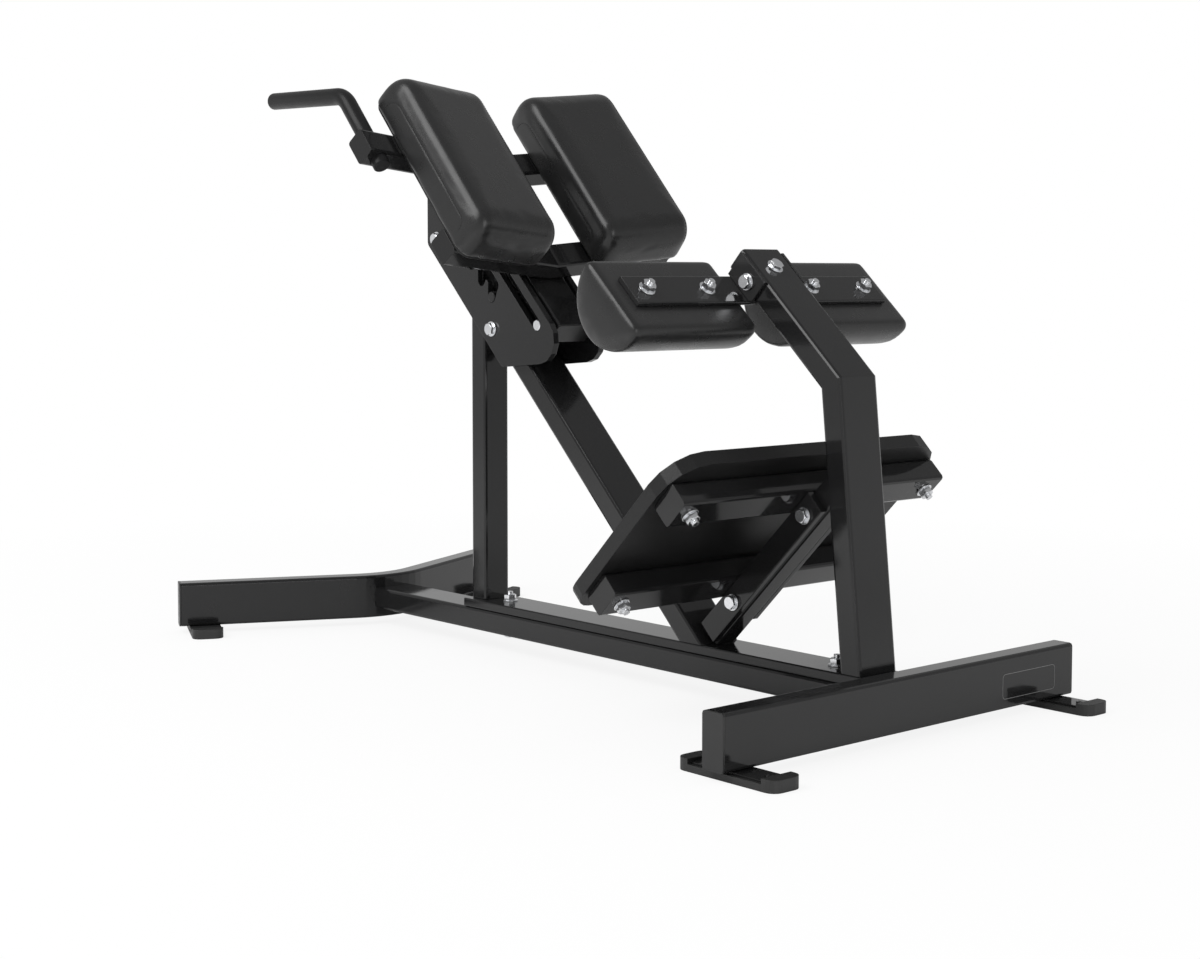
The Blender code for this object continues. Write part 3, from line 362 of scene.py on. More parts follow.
def crowned(tree, points, height, body, face, slope, sink=0.0):
    """A form on its seat, chamfered at both ends to its face, where a sunk centre can be."""
    block = add(tree, "GeometryNodeMeshCylinder",
                {"Vertices": points, "Side Segments": 3, "Fill Segments": 3 if sink else 1,
                 "Radius": 1.0, "Depth": 1.0}, fill_type="TRIANGLE_FAN" if sink else "NGON")
    x, y, z = parted(tree, add(tree, "GeometryNodeInputPosition"))
    end = calc(tree, "GREATER_THAN", calc(tree, "ABSOLUTE", z), END_LEVEL)
    taper = calc(tree, "SUBTRACT", body, face)
    wide = calc(tree, "SUBTRACT", body, calc(tree, "MULTIPLY", taper, end))
    drop = calc(tree, "MULTIPLY", calc(tree, "MULTIPLY", taper, slope),
                calc(tree, "SUBTRACT", 1.0, end))
    half = calc(tree, "MULTIPLY", height, 0.5)
    level = calc(tree, "MULTIPLY", calc(tree, "SIGN", z), calc(tree, "SUBTRACT", half, drop))
    tall = calc(tree, "ADD", level, half)
    if sink:
        squares = calc(tree, "ADD", calc(tree, "MULTIPLY", x, x), calc(tree, "MULTIPLY", y, y))
        inside = calc(tree, "LESS_THAN", calc(tree, "SQRT", squares), SOCKET_WIDE)
        on_top = calc(tree, "MULTIPLY", inside, calc(tree, "GREATER_THAN", z, END_LEVEL))
        tall = calc(tree, "SUBTRACT", tall, calc(tree, "MULTIPLY", on_top, sink))
    moved = joined(tree, calc(tree, "MULTIPLY", x, wide), calc(tree, "MULTIPLY", y, wide), tall)
    return add(tree, "GeometryNodeSetPosition", {"Geometry": block, "Position": moved})


def hexagon_width(tree, flat):
    """The half width of a hexagon towards each point round it, from its half width over flats."""
    x, y, _ = parted(tree, add(tree, "GeometryNodeInputPosition"))
    turn = calc(tree, "ADD", calc(tree, "ARCTAN2", y, x), HEX_TURN / 2)
    off_flat = calc(tree, "SUBTRACT", calc(tree, "FLOORED_MODULO", turn, HEX_TURN), HEX_TURN / 2)
    return calc(tree, "DIVIDE", flat, calc(tree, "COSINE", off_flat))


def raised(tree, form, height):
    """A form moved up along its own axis."""
    return add(tree, "GeometryNodeTransform", {"Geometry": form,
                                               "Translation": joined(tree, 0.0, 0.0, height)})


def thread_stub(tree, radius, length, pitch):
    """A short round bar with the ridges of a rolled thread."""
    bar = add(tree, "GeometryNodeMeshCylinder", {"Vertices": THREAD_POINTS, "Radius": 1.0,
                                                 "Side Segments": THREAD_RINGS, "Depth": length})
    x, y, z = parted(tree, add(tree, "GeometryNodeInputPosition"))
    turn = calc(tree, "MULTIPLY", calc(tree, "DIVIDE", z, pitch), 2 * math.pi)
    ridge = calc(tree, "MULTIPLY_ADD", calc(tree, "COSINE", turn), RIDGE_DEEP, 1 - RIDGE_DEEP)
    wide = calc(tree, "MULTIPLY", radius, ridge)
    ridged = joined(tree, calc(tree, "MULTIPLY", x, wide), calc(tree, "MULTIPLY", y, wide), z)
    return add(tree, "GeometryNodeSetPosition", {"Geometry": bar, "Position": ridged})


def end_tree(tree, forms, material):
    """Join the forms as plain mesh in their material."""
    join = tree.nodes.new("GeometryNodeJoinGeometry")
    for form in forms:
        tree.links.new(form, join.inputs[0])
    real = add(tree, "GeometryNodeRealizeInstances", {"Geometry": join.outputs[0]})
    coated = add(tree, "GeometryNodeSetMaterial", {"Geometry": real, "Material": material})
    tree.links.new(coated, tree.nodes.new("NodeGroupOutput").inputs[0])


def settle(piece):
    """Turn a piece's live modifiers into its mesh."""
    graph = bpy.context.evaluated_depsgraph_get()
    made = bpy.data.meshes.new_from_object(piece.evaluated_get(graph))
    piece.modifiers.clear()
    old = piece.data
    piece.data = made
    bpy.data.meshes.remove(old)


def grow(name, tree, mesh, values):
    """Run a geometry tree on points or a path, and keep what it makes as a plain mesh."""
    piece = bpy.data.objects.new(name, mesh)
    bpy.context.collection.objects.link(piece)
    maker = piece.modifiers.new("maker", "NODES")
    maker.node_group = tree
    for socket in tree.interface.items_tree:
        if socket.in_out == "INPUT" and socket.name in values:
            maker[socket.identifier] = values[socket.name]
    settle(piece)
    return piece


def fastener_tree():
    """Washers, hexagon heads or nuts, thread stubs and shanks on points that name their ends."""
    tree, size = geometry_tree("fasteners", "Half Flat", "Head Height", "Nut Height",
                               "Washer Radius", "Washer Thickness", "Shank Radius",
                               "Thread Length", "Thread Pitch", "Turn Seed")
    seat = size["Washer Thickness"]
    hexagon = hexagon_width(tree, size["Half Flat"])
    face = calc(tree, "MULTIPLY", size["Half Flat"], HEX_FACE)
    head = crowned(tree, ROUND_POINTS, size["Head Height"], hexagon, face, HEX_SLOPE)
    nut = crowned(tree, ROUND_POINTS, size["Nut Height"], hexagon, face, HEX_SLOPE)
    washer_face = calc(tree, "SUBTRACT", size["Washer Radius"], WASHER_EDGE)
    washer = crowned(tree, ROUND_POINTS, seat, size["Washer Radius"], washer_face, 1.0)
    stub = thread_stub(tree, size["Shank Radius"], size["Thread Length"], size["Thread Pitch"])
    nut_top = calc(tree, "ADD", seat, size["Nut Height"])
    above = calc(tree, "ADD", nut_top, calc(tree, "MULTIPLY", size["Thread Length"], 0.5))
    shank = add(tree, "GeometryNodeMeshCylinder", {"Vertices": SHANK_POINTS, "Depth": 1.0,
                                                   "Radius": size["Shank Radius"]})
    outward, is_nut, core = (
        add(tree, "GeometryNodeInputNamedAttribute", {"Name": name}, data_type=kind)
        for name, kind in (("outward", "FLOAT_VECTOR"), ("nut", "BOOLEAN"), ("core", "FLOAT")))
    is_head = add(tree, "FunctionNodeBooleanMath", {0: is_nut}, operation="NOT")
    stand = add(tree, "FunctionNodeAlignRotationToVector", {"Vector": outward}, axis="Z")
    chance = tree.nodes.new("FunctionNodeRandomValue")
    feed(tree, chance, {3: 2 * math.pi, "Seed": size["Turn Seed"]})
    spin = add(tree, "FunctionNodeAxisAngleToRotation", {"Axis": (0, 0, 1),
                                                         "Angle": chance.outputs[1]})
    turned = add(tree, "FunctionNodeRotateRotation", {"Rotation": stand, "Rotate By": spin},
                 rotation_space="LOCAL")
    deep = joined(tree, 1.0, 1.0, core)
    full = joined(tree, 1.0, 1.0, 1.0)
    forms = []
    for form, height, chosen, scale in ((washer, 0.0, True, full), (head, seat, is_head, full),
                                        (nut, seat, is_nut, full), (stub, above, is_nut, full),
                                        (shank, -0.5, True, deep)):
        forms.append(add(tree, "GeometryNodeInstanceOnPoints",
                         {"Points": size["Geometry"], "Selection": chosen, "Rotation": turned,
                          "Instance": raised(tree, form, height), "Scale": scale}))
    end_tree(tree, forms, size["Material"])
    return tree


def end_points(name, ends):
    """Points that carry each fastener end's direction, kind and shank."""
    mesh = bpy.data.meshes.new(name)
    mesh.from_pydata([end[0] for end in ends], [], [])
    mesh.attributes.new("outward", "FLOAT_VECTOR", "POINT").data.foreach_set(
        "vector", [value for end in ends for value in end[1]])
    for key, kind, place in (("nut", "BOOLEAN", 2), ("core", "FLOAT", 3)):
        mesh.attributes.new(key, kind, "POINT").data.foreach_set(
            "value", [end[place] for end in ends])
    return mesh


fasteners = fastener_tree()
frame_ends = [end for bolt in BOLTS for end in bolt_ends(*bolt)]
M10 = {"Half Flat": HEX_FLAT, "Head Height": HEAD_T, "Nut Height": NUT_T,
       "Washer Radius": WASHER_R, "Washer Thickness": WASHER_T, "Shank Radius": SHANK_R,
       "Thread Length": THREAD_OUT, "Thread Pitch": THREAD_PITCH, "Turn Seed": 7,
       "Material": zinc}
frame_bolts = grow("frame_bolts", fasteners, end_points("frame_bolts", frame_ends), M10)
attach(frame_bolts, "frame")
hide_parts(*[bolt[0] for bolt in BOLTS])


# Strip screws: low round steel screws with a socket, painted like the frame, which hold the steel
# strips in the front rubber feet's channels.
SCREW_R = 0.0052
SCREW_H = 0.0022
SCREW_SOCKET = 0.0012
SCREW_FROM_END = 0.0116
SCREW_SUNK = 0.0002
SCREW_FACE = 0.86
SCREW_SLOPE = 0.8
SCREW_POINTS = 24


def screw_tree():
    """Low round screw heads with a sunk socket, standing on points."""
    tree, size = geometry_tree("strip_screws", "Head Radius", "Head Height", "Socket Depth")
    face = calc(tree, "MULTIPLY", size["Head Radius"], SCREW_FACE)
    head = crowned(tree, SCREW_POINTS, size["Head Height"], size["Head Radius"], face,
                   SCREW_SLOPE, size["Socket Depth"])
    placed = add(tree, "GeometryNodeInstanceOnPoints", {"Points": size["Geometry"],
                                                        "Instance": head})
    end_tree(tree, [placed], size["Material"])
    return tree


strip_points = []
for side in ("near", "far"):
    low_corner, high_corner = (Vector(corner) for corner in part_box("foot_strip_front_" + side))
    for x in (low_corner.x + SCREW_FROM_END, high_corner.x - SCREW_FROM_END):
        y = (low_corner.y + high_corner.y) / 2
        strip_points.append((x, y, high_corner.z - SCREW_SUNK))
screw_mesh = bpy.data.meshes.new("strip_screws")
screw_mesh.from_pydata(strip_points, [], [])
strip_screws = grow("strip_screws", screw_tree(), screw_mesh,
                    {"Head Radius": SCREW_R, "Head Height": SCREW_H,
                     "Socket Depth": SCREW_SOCKET, "Material": paint})
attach(strip_screws, "frame")


# Label outline: a plain rounded outline on the front foot's face, a thin print of light grey ink on
# the paint.
LABEL_Y = 0.2565
LABEL_Z = 0.0450
LABEL_W = 0.122
LABEL_H = 0.036
LABEL_LINE = 0.0007
LABEL_T = 0.0002
LABEL_R = 0.006
CORNER_ARC_STEPS = 7
INK_DARK = (0.14, 0.14, 0.14, 1)
INK_LIGHT = (0.20, 0.20, 0.20, 1)
INK_CLOUD = 400.0
INK_SMEAR = 90.0
INK_ROUGH = (0.35, 0.5)


def grey_ink():
    """Light grey ink, a little uneven."""
    material, tree, shader, place = blank_finish("grey_ink")
    cloud = mottle(tree, place, INK_CLOUD)
    smear = mottle(tree, place, INK_SMEAR)
    feed(tree, shader, {"Base Color": tint(tree, cloud, INK_DARK, INK_LIGHT),
                        "Roughness": span(tree, smear, *INK_ROUGH)})
    return material


def rounded(corners, steps=CORNER_ARC_STEPS):
    """An outline from (x, y, radius) corners, with an arc at each corner."""
    points = []
    for index, (x, y, radius) in enumerate(corners):
        corner = Vector((x, y))
        a = (Vector(corners[index - 1][:2]) - corner).normalized()
        b = (Vector(corners[(index + 1) % len(corners)][:2]) - corner).normalized()
        half = a.angle(b) / 2
        centre = corner + (a + b).normalized() * (radius / math.sin(half))
        first = corner + a * (radius / math.tan(half)) - centre
        start = math.atan2(first.y, first.x)
        turn = math.copysign(math.pi - 2 * half, b.x * a.y - b.y * a.x)
        for step in range(steps + 1):
            angle = start + turn * step / steps
            points.append(centre + radius * Vector((math.cos(angle), math.sin(angle))))
    return points


def skin(form, rings, smooth=False):
    """Join rings of points, each to the next, with faces."""
    for ring, following in zip(rings, rings[1:]):
        for index in range(len(ring)):
            after = (index + 1) % len(ring)
            face = form.faces.new((ring[index], ring[after], following[after], following[index]))
            face.smooth = smooth


def finished(form, name, material):
    """A piece of one material from a finished form."""
    bmesh.ops.recalc_face_normals(form, faces=form.faces)
    mesh = bpy.data.meshes.new(name)
    form.to_mesh(mesh)
    form.free()
    mesh.materials.append(material)
    piece = bpy.data.objects.new(name, mesh)
    bpy.context.collection.objects.link(piece)
    return piece


def label_ring(front):
    """The outline as a thin closed ring on the foot's front face."""
    form = bmesh.new()
    rings = []
    for inset, level in ((0, -LABEL_T), (0, LABEL_T), (LABEL_LINE, LABEL_T),
                         (LABEL_LINE, -LABEL_T)):
        y, z, radius = LABEL_W / 2 - inset, LABEL_H / 2 - inset, LABEL_R - inset
        outline = rounded([(y, z, radius), (-y, z, radius), (-y, -z, radius), (y, -z, radius)])
        rings.append([form.verts.new((front + level, LABEL_Y + a, LABEL_Z + b))
                      for a, b in outline])
    skin(form, rings + rings[:1])
    return finished(form, "label_outline", grey_ink())


label = label_ring(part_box("front_cross_foot")[1][0])
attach(label, "frame")


# Padded pieces: foam glued to a board and wrapped in smooth black imitation leather. The cover is
# pulled tight over the foam, so the faces crown a little and the edges stay evenly round.
LEATHER_DARK = (0.0105, 0.0105, 0.0107, 1)
LEATHER_LIGHT = (0.0135, 0.0135, 0.0137, 1)
LEATHER_CLOUD = 11.0
LEATHER_SMEAR = 35.0
LEATHER_GRAIN = 520.0
PORE_DEEP = 0.00003
LEATHER_WAVE = 60.0
WAVE_DEEP = 0.00005
LEATHER_ROUGH = (0.25, 0.33)
LEATHER_SHINE = 0.45
LEATHER_SHEEN = 0.04
VOXEL = 0.0045
EDGE_STEPS = 6
AIR_PRESSURE = 4.0
BLOW_FRAMES = 20
PUFF_SHARE = 0.8
HELD_BAND = 0.003
TINY = 1e-9
EASE_SHARE = 0.5
EASE_ROUNDS = 4
PAD_PITCH = math.radians(48)
BAR_V = math.radians(8.24)
pad_down = FRONT * math.cos(PAD_PITCH) - UP * math.sin(PAD_PITCH)
pad_out = FRONT * math.sin(PAD_PITCH) + UP * math.cos(PAD_PITCH)


def imitation_leather():
    """Smooth black imitation leather with a fine grain and a soft sheen."""
    material, tree, shader, place = blank_finish("imitation_leather")
    cloud = mottle(tree, place, LEATHER_CLOUD)
    smear = mottle(tree, place, LEATHER_SMEAR, 3.0)
    wave = mottle(tree, place, LEATHER_WAVE, 3.0)
    grain = add(tree, "ShaderNodeTexVoronoi", {"Vector": place, "Scale": LEATHER_GRAIN},
                feature="DISTANCE_TO_EDGE")
    feed(tree, shader, {"Base Color": tint(tree, cloud, LEATHER_DARK, LEATHER_LIGHT),
                        "Roughness": span(tree, smear, *LEATHER_ROUGH),
                        "Normal": relief(tree, wave, WAVE_DEEP, relief(tree, grain, PORE_DEEP)),
                        "Specular IOR Level": LEATHER_SHINE, "Sheen Weight": LEATHER_SHEEN})
    return material


def quarter_round(radius, steps):
    """The depths and insets of a rounded edge, from the end face to the side."""
    angles = [math.pi / 2 * step / steps for step in range(steps + 1)]
    return [(radius * (1 - math.cos(angle)), radius * (1 - math.sin(angle))) for angle in angles]


def roll_mesh(name, outline, width, edge, place, material):
    """A closed roll: an outline carried across its width, drawn in to rounded ends."""
    levels = quarter_round(edge, EDGE_STEPS)
    levels += [(width - height, inset) for height, inset in reversed(levels)]
    form = bmesh.new()
    rings = [[form.verts.new((x, y, height)) for x, y in outline(inset)]
             for height, inset in levels]
    skin(form, rings)
    form.faces.new(rings[0])
    form.faces.new(rings[-1])
    form.transform(place)
    return finished(form, name, material)


def blow_up(piece, held, limit):
    """Blow the cover out over its foam as cloth, with the held points still, up to a limit."""
    start = np.array([vertex.co for vertex in piece.data.vertices])
    group = piece.vertex_groups.new(name="held")
    group.add([vertex.index for vertex in piece.data.vertices if held(vertex.co)], 1.0, "REPLACE")
    cloth = piece.modifiers.new("cover", "CLOTH")
    cloth.settings.use_pressure = True
    cloth.settings.uniform_pressure_force = AIR_PRESSURE
    cloth.settings.effector_weights.gravity = 0
    cloth.settings.vertex_group_mass = "held"
    cloth.point_cache.frame_end = BLOW_FRAMES
    for number in range(1, BLOW_FRAMES + 1):
        bpy.context.scene.frame_set(number)
    graph = bpy.context.evaluated_depsgraph_get()
    blown = piece.evaluated_get(graph).to_mesh()
    moved = np.array([vertex.co for vertex in blown.vertices]) - start
    piece.modifiers.clear()
    piece.vertex_groups.clear()
    length = np.linalg.norm(moved, axis=1)
    eased = limit * np.tanh(length / limit)
    moved *= (eased / np.maximum(length, TINY))[:, None]
    piece.data.vertices.foreach_set("co", (start + moved).astype(np.float32).ravel())
    piece.data.update()
    bpy.context.scene.frame_set(1)


def remesh(piece, size):
    """An even closed mesh of small faces over the same form."""
    modifier = piece.modifiers.new("even", "REMESH")
    modifier.mode = "VOXEL"
    modifier.voxel_size = size
    settle(piece)


def smooth_cover(piece):
    """Smooth the small steps of the even mesh and subdivide it once."""
    ease = piece.modifiers.new("ease", "SMOOTH")
    ease.factor = EASE_SHARE
    ease.iterations = EASE_ROUNDS
    finer = piece.modifiers.new("finer", "SUBSURF")
    finer.levels = 1
    finer.render_levels = 1
    settle(piece)
    piece.data.shade_smooth()


def across_bench(piece, name):
    """A mirrored copy of a piece for the other side of the bench."""
    form = bmesh.new()
    form.from_mesh(piece.data)
    bmesh.ops.scale(form, vec=(1, -1, 1), verts=form.verts)
    bmesh.ops.reverse_faces(form, faces=form.faces)
    mesh = bpy.data.meshes.new(name)
    form.to_mesh(mesh)
    form.free()
    for material in piece.data.materials:
        mesh.materials.append(material)
    mesh.shade_smooth()
    other = bpy.data.objects.new(name, mesh)
    bpy.context.collection.objects.link(other)
    return other


leather = imitation_leather()


# Hip pads: two long cushions on the crossbars, flat underneath on their boards, with a large round
# at both ends and evenly rounded long edges.
HIP_LOW_R = 0.034
HIP_TOP_R = 0.044
HIP_BASE_R = 0.006
HIP_EDGE_R = 0.020
HIP_PUFF = 0.0013
HIP_BOARD_T = 0.004
HIP_BOARD_IN = 0.005
HIP_BOARD_SINK = 0.001
HIP_BOARD_R = 0.0008
BOARD_ARC_STEPS = 2
near_out = -ACROSS * math.cos(BAR_V) + pad_out * math.sin(BAR_V)
near_lift = pad_out * math.cos(BAR_V) + ACROSS * math.sin(BAR_V)
hip_top, hip_low = reach("hip_pad_near", pad_down)
hip_base, hip_face = reach("hip_pad_near", near_lift)
hip_in, hip_out = reach("hip_pad_near", near_out)


def hip_outline(inset):
    """The side view of a hip pad's cushion."""
    low, top = hip_low - inset, hip_top + inset
    base, face = hip_base + HIP_BOARD_T, hip_face - HIP_PUFF * PUFF_SHARE - inset
    return rounded([(top, base, HIP_BASE_R), (low, base, HIP_BASE_R),
                    (low, face, HIP_LOW_R - inset / 2), (top, face, HIP_TOP_R - inset / 2)])


def hip_board_outline(inset):
    """The side view of the board under a hip pad, which is drawn in only at its two ends."""
    low, top = hip_low - HIP_BOARD_IN - inset, hip_top + HIP_BOARD_IN + inset
    over = hip_base + HIP_BOARD_T + HIP_BOARD_SINK
    return rounded([(top, hip_base, HIP_BOARD_R), (low, hip_base, HIP_BOARD_R),
                    (low, over, HIP_BOARD_R), (top, over, HIP_BOARD_R)], BOARD_ARC_STEPS)


hip_place = Matrix((pad_down, near_lift, near_out)).transposed().to_4x4()
hip_place.translation = near_out * hip_in
hip_pad = roll_mesh("hip_cushion_near", hip_outline, hip_out - hip_in, HIP_EDGE_R, hip_place,
                    leather)
remesh(hip_pad, VOXEL)
hip_hold = hip_base + HIP_BOARD_T + HELD_BAND
blow_up(hip_pad, lambda point: point.dot(near_lift) < hip_hold, HIP_PUFF)
smooth_cover(hip_pad)
hip_board_place = hip_place.copy()
hip_board_place.translation = near_out * (hip_in + HIP_BOARD_IN)
hip_board = roll_mesh("hip_board_near", hip_board_outline, hip_out - hip_in - 2 * HIP_BOARD_IN,
                      HIP_EDGE_R, hip_board_place, board_facing)
far_hip_pad = across_bench(hip_pad, "hip_cushion_far")
far_hip_board = across_bench(hip_board, "hip_board_far")


# Seams: the cover's side panels are sewn to its top panel, along the rounded edge on one side and
# down on the side panel on the other, with a black thread that draws the leather in a little.
SEAM_WIDE = 0.0036
SEAM_DEEP = 0.0005
SEAM_STEP = 0.002
SEAM_FROM_BASE = 0.010
STITCH_PITCH = 0.0052
STITCH_LENGTH = 0.0036
STITCH_SLOPE = 2.0
STITCH_SIDES = 6
STITCH_TIP = 0.5
THREAD_R = 0.00042
THREAD_SUNK = 0.6
THREAD_DARK = (0.004, 0.004, 0.004, 1)
THREAD_LIGHT = (0.010, 0.010, 0.010, 1)
THREAD_TWIST = 2400.0
TWIST_DEEP = 0.00005
THREAD_ROUGH = (0.45, 0.6)
ON_ROUND = (0.0106, 0.0023)
ON_PANEL = (0.0, 0.036)


def sewing_thread():
    """Black twisted thread with a slight shine."""
    material, tree, shader, place = blank_finish("sewing_thread")
    twist = mottle(tree, place, THREAD_TWIST)
    feed(tree, shader, {"Base Color": tint(tree, twist, THREAD_DARK, THREAD_LIGHT),
                        "Roughness": span(tree, twist, *THREAD_ROUGH),
                        "Normal": relief(tree, twist, TWIST_DEEP)})
    return material


def seam_line(pad, place, seam, outer):
    """Points of a seam on the finished cushion, and the way out of the leather at each."""
    height, inset = seam
    height = hip_out - hip_in - height if outer else height
    outline = hip_outline(inset)
    base = hip_base + HIP_BOARD_T + SEAM_FROM_BASE
    start = next(index for index, point in enumerate(outline)
                 if point.y > base >= outline[index - 1].y)
    line = []
    for point in outline[start:] + outline[:start]:
        if point.y <= base:
            break
        line.append(point)
    cover = BVHTree.FromPolygons([vertex.co for vertex in pad.data.vertices],
                                 [face.vertices for face in pad.data.polygons])
    points = []
    for a, b in zip(line, line[1:]):
        count = max(1, round((b - a).length / SEAM_STEP))
        for step in range(count):
            x, y = a.lerp(b, step / count)
            found, normal, _, _ = cover.find_nearest(place @ Vector((x, y, height)))
            points.append((found, normal))
    return points


def draw_in(pad, points):
    """Sink the leather a little along a seam."""
    tree = KDTree(len(points))
    for index, (point, _) in enumerate(points):
        tree.insert(point, index)
    tree.balance()
    for vertex in pad.data.vertices:
        _, _, away = tree.find(vertex.co)
        if away < SEAM_WIDE:
            vertex.co -= vertex.normal * (SEAM_DEEP * (1 - (away / SEAM_WIDE) ** 2) ** 2)
    pad.data.update()


def stitch_tree():
    """Stitches laid end to end along a path."""
    tree, size = geometry_tree("stitch_row", "Pitch", "Stitch Length", "Thread Radius")
    path = add(tree, "GeometryNodeMeshToCurve", {"Mesh": size["Geometry"]})
    spaced = add(tree, "GeometryNodeResampleCurve", {"Curve": path, "Length": size["Pitch"]},
                 mode="LENGTH")
    tip = calc(tree, "MULTIPLY", size["Thread Radius"], STITCH_TIP)
    stitch = crowned(tree, STITCH_SIDES, size["Stitch Length"], size["Thread Radius"], tip,
                     STITCH_SLOPE)
    tangent = add(tree, "GeometryNodeInputTangent")
    along = add(tree, "FunctionNodeAlignRotationToVector", {"Vector": tangent}, axis="Z")
    placed = add(tree, "GeometryNodeInstanceOnPoints", {"Points": spaced, "Instance": stitch,
                                                        "Rotation": along})
    end_tree(tree, [placed], size["Material"])
    return tree


stitching = stitch_tree()
thread = sewing_thread()
far_hip_place = Matrix.Scale(-1, 4, ACROSS) @ hip_place
NEAR_SEAMS = ((ON_ROUND, False), (ON_PANEL, True))
FAR_SEAMS = ((ON_PANEL, False), (ON_ROUND, True))
for pad, place, side, seams in ((hip_pad, hip_place, "near", NEAR_SEAMS),
                                (far_hip_pad, far_hip_place, "far", FAR_SEAMS)):
    spots, links = [], []
    for seam, outer in seams:
        line = seam_line(pad, place, seam, outer)
        draw_in(pad, line)
        first = len(spots)
        spots += [point - normal * (SEAM_DEEP - THREAD_R * THREAD_SUNK) for point, normal in line]
        links += [(index, index + 1) for index in range(first, len(spots) - 1)]
    sewn = bpy.data.meshes.new("hip_stitches_" + side)
    sewn.from_pydata(spots, links, [])
    stitches = grow("hip_stitches_" + side, stitching, sewn,
                    {"Pitch": STITCH_PITCH, "Stitch Length": STITCH_LENGTH,
                     "Thread Radius": THREAD_R, "Material": thread})
    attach(stitches, "carriage")
for piece, board, side in ((hip_pad, hip_board, "near"), (far_hip_pad, far_hip_board, "far")):
    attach(piece, "carriage")
    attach(board, "carriage")
    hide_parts("hip_pad_" + side)


# Pad screws: M8 hexagon screws over plain washers, in zinc plated steel, under the crossbars. They
# go up into the pads' boards and hold the pads.
CROSSBAR_T = 0.035
M8_CORE = 0.012
M8 = {"Half Flat": 0.0065, "Head Height": 0.0053, "Nut Height": 0.0065, "Washer Radius": 0.0105,
      "Washer Thickness": 0.0016, "Shank Radius": 0.004, "Thread Length": 0.003,
      "Thread Pitch": 0.00125, "Turn Seed": 11, "Material": zinc}


def on_side(point, way):
    """A point or direction of the near side (1), or its image on the far side (-1)."""
    return Vector((point.x, point.y * way, point.z))


screw_ends = []
for way in (1, -1):
    for bar in ("crossbar_lower", "crossbar_upper"):
        seat = (pad_down * (sum(reach(bar, pad_down)) / 2) + near_out * ((hip_in + hip_out) / 2)
                + near_lift * (hip_base - CROSSBAR_T - 2 * SEAT_GAP))
        screw_ends.append((on_side(seat, way), on_side(-near_lift, way), False, M8_CORE))
pad_screws = grow("pad_screws", fasteners, end_points("pad_screws", screw_ends), M8)
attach(pad_screws, "carriage")


# Handles: two round steel bars, bent cold to a smooth elbow with lightly rounded rims, pushed up
# through the upper crossbar, with a satin powder coat that is duller than the frame's.
HANDLE_R = 0.0138
HANDLE_RIM = 0.0018
HANDLE_BEND = 0.045
HANDLE_TILT = math.radians(1.5)
HANDLE_TURN = PAD_PITCH - HANDLE_TILT
HANDLE_POINTS = 40
BEND_STEPS = 24
RIM_STEPS = 5
SATIN_ROUGH = (0.28, 0.36)
SATIN_SHINE = 0.20
grip_way = UP * math.sin(HANDLE_TILT) - FRONT * math.cos(HANDLE_TILT)
grip_over = FRONT * math.sin(HANDLE_TILT) + UP * math.cos(HANDLE_TILT)


def handle_line():
    """Points of the near handle's centre line, up its leg, round the bend and along the grip."""
    middle = ACROSS * (sum(reach("handle_near", ACROSS)) / 2)
    leg = pad_out * (reach("handle_near", pad_out)[1] - HANDLE_R)
    height = reach("handle_near", grip_over)[1] - HANDLE_R
    corner = leg + pad_down * ((height - leg.dot(grip_over)) / pad_down.dot(grip_over))
    start = corner + pad_down * (HANDLE_BEND * math.tan(HANDLE_TURN / 2))
    line = [middle + leg + pad_down * reach("handle_near", pad_down)[1]]
    for step in range(BEND_STEPS + 1):
        angle = HANDLE_TURN * step / BEND_STEPS
        swing = pad_out * (math.cos(angle) - 1) - pad_down * math.sin(angle)
        line.append(middle + start + swing * HANDLE_BEND)
    return line + [middle + grip_over * height + grip_way * reach("handle_near", grip_way)[1]]


def bent_bar(name, line, radius, rim, material):
    """A round bar along a centre line in an upright plane, with both rims rounded."""
    first, last = (line[1] - line[0]).normalized(), (line[-1] - line[-2]).normalized()
    rims = [(deep, radius - inset) for deep, inset in quarter_round(rim, RIM_STEPS)]
    stations = [(line[0] + first * deep, first, wide) for deep, wide in rims]
    stations += [(line[index], (line[index + 1] - line[index - 1]).normalized(), radius)
                 for index in range(1, len(line) - 1)]
    stations += [(line[-1] - last * deep, last, wide) for deep, wide in reversed(rims)]
    turns = [2 * math.pi * part / HANDLE_POINTS for part in range(HANDLE_POINTS)]
    form = bmesh.new()
    rings = []
    for centre, way, wide in stations:
        over = way.cross(ACROSS)
        spokes = [ACROSS * math.cos(turn) + over * math.sin(turn) for turn in turns]
        rings.append([form.verts.new(centre + spoke * wide) for spoke in spokes])
    skin(form, rings, smooth=True)
    form.faces.new(rings[0])
    form.faces.new(rings[-1])
    return finished(form, name, material)


satin = powder_coat("satin_coat", SATIN_ROUGH, SATIN_SHINE)
near_handle_line = handle_line()
for way, side in ((1, "near"), (-1, "far")):
    line = [on_side(point, way) for point in near_handle_line]
    handle = bent_bar("grip_handle_" + side, line, HANDLE_R, HANDLE_RIM, satin)
    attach(handle, "carriage")
    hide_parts("handle_" + side)


# Ankle pads: two D-shaped cushions, flat where they are bolted to the bar and round below, with
# flat end panels.
ANKLE_ROUND = 0.011
ANKLE_EDGE = 0.008
ANKLE_PUFF = 0.003
ANKLE_STEPS = 40
CORNER_STEPS = 6
ankle_a, ankle_b = reach("ankle_pad_near", post_slant)
ankle_low, ankle_flat = reach("ankle_pad_near", post_face)
ankle_in, ankle_out = reach("ankle_pad_near", -ACROSS)
ankle_r = (ankle_b - ankle_a) / 2
ankle_mid = (ankle_a + ankle_b) / 2
ankle_centre = ankle_low + ankle_r


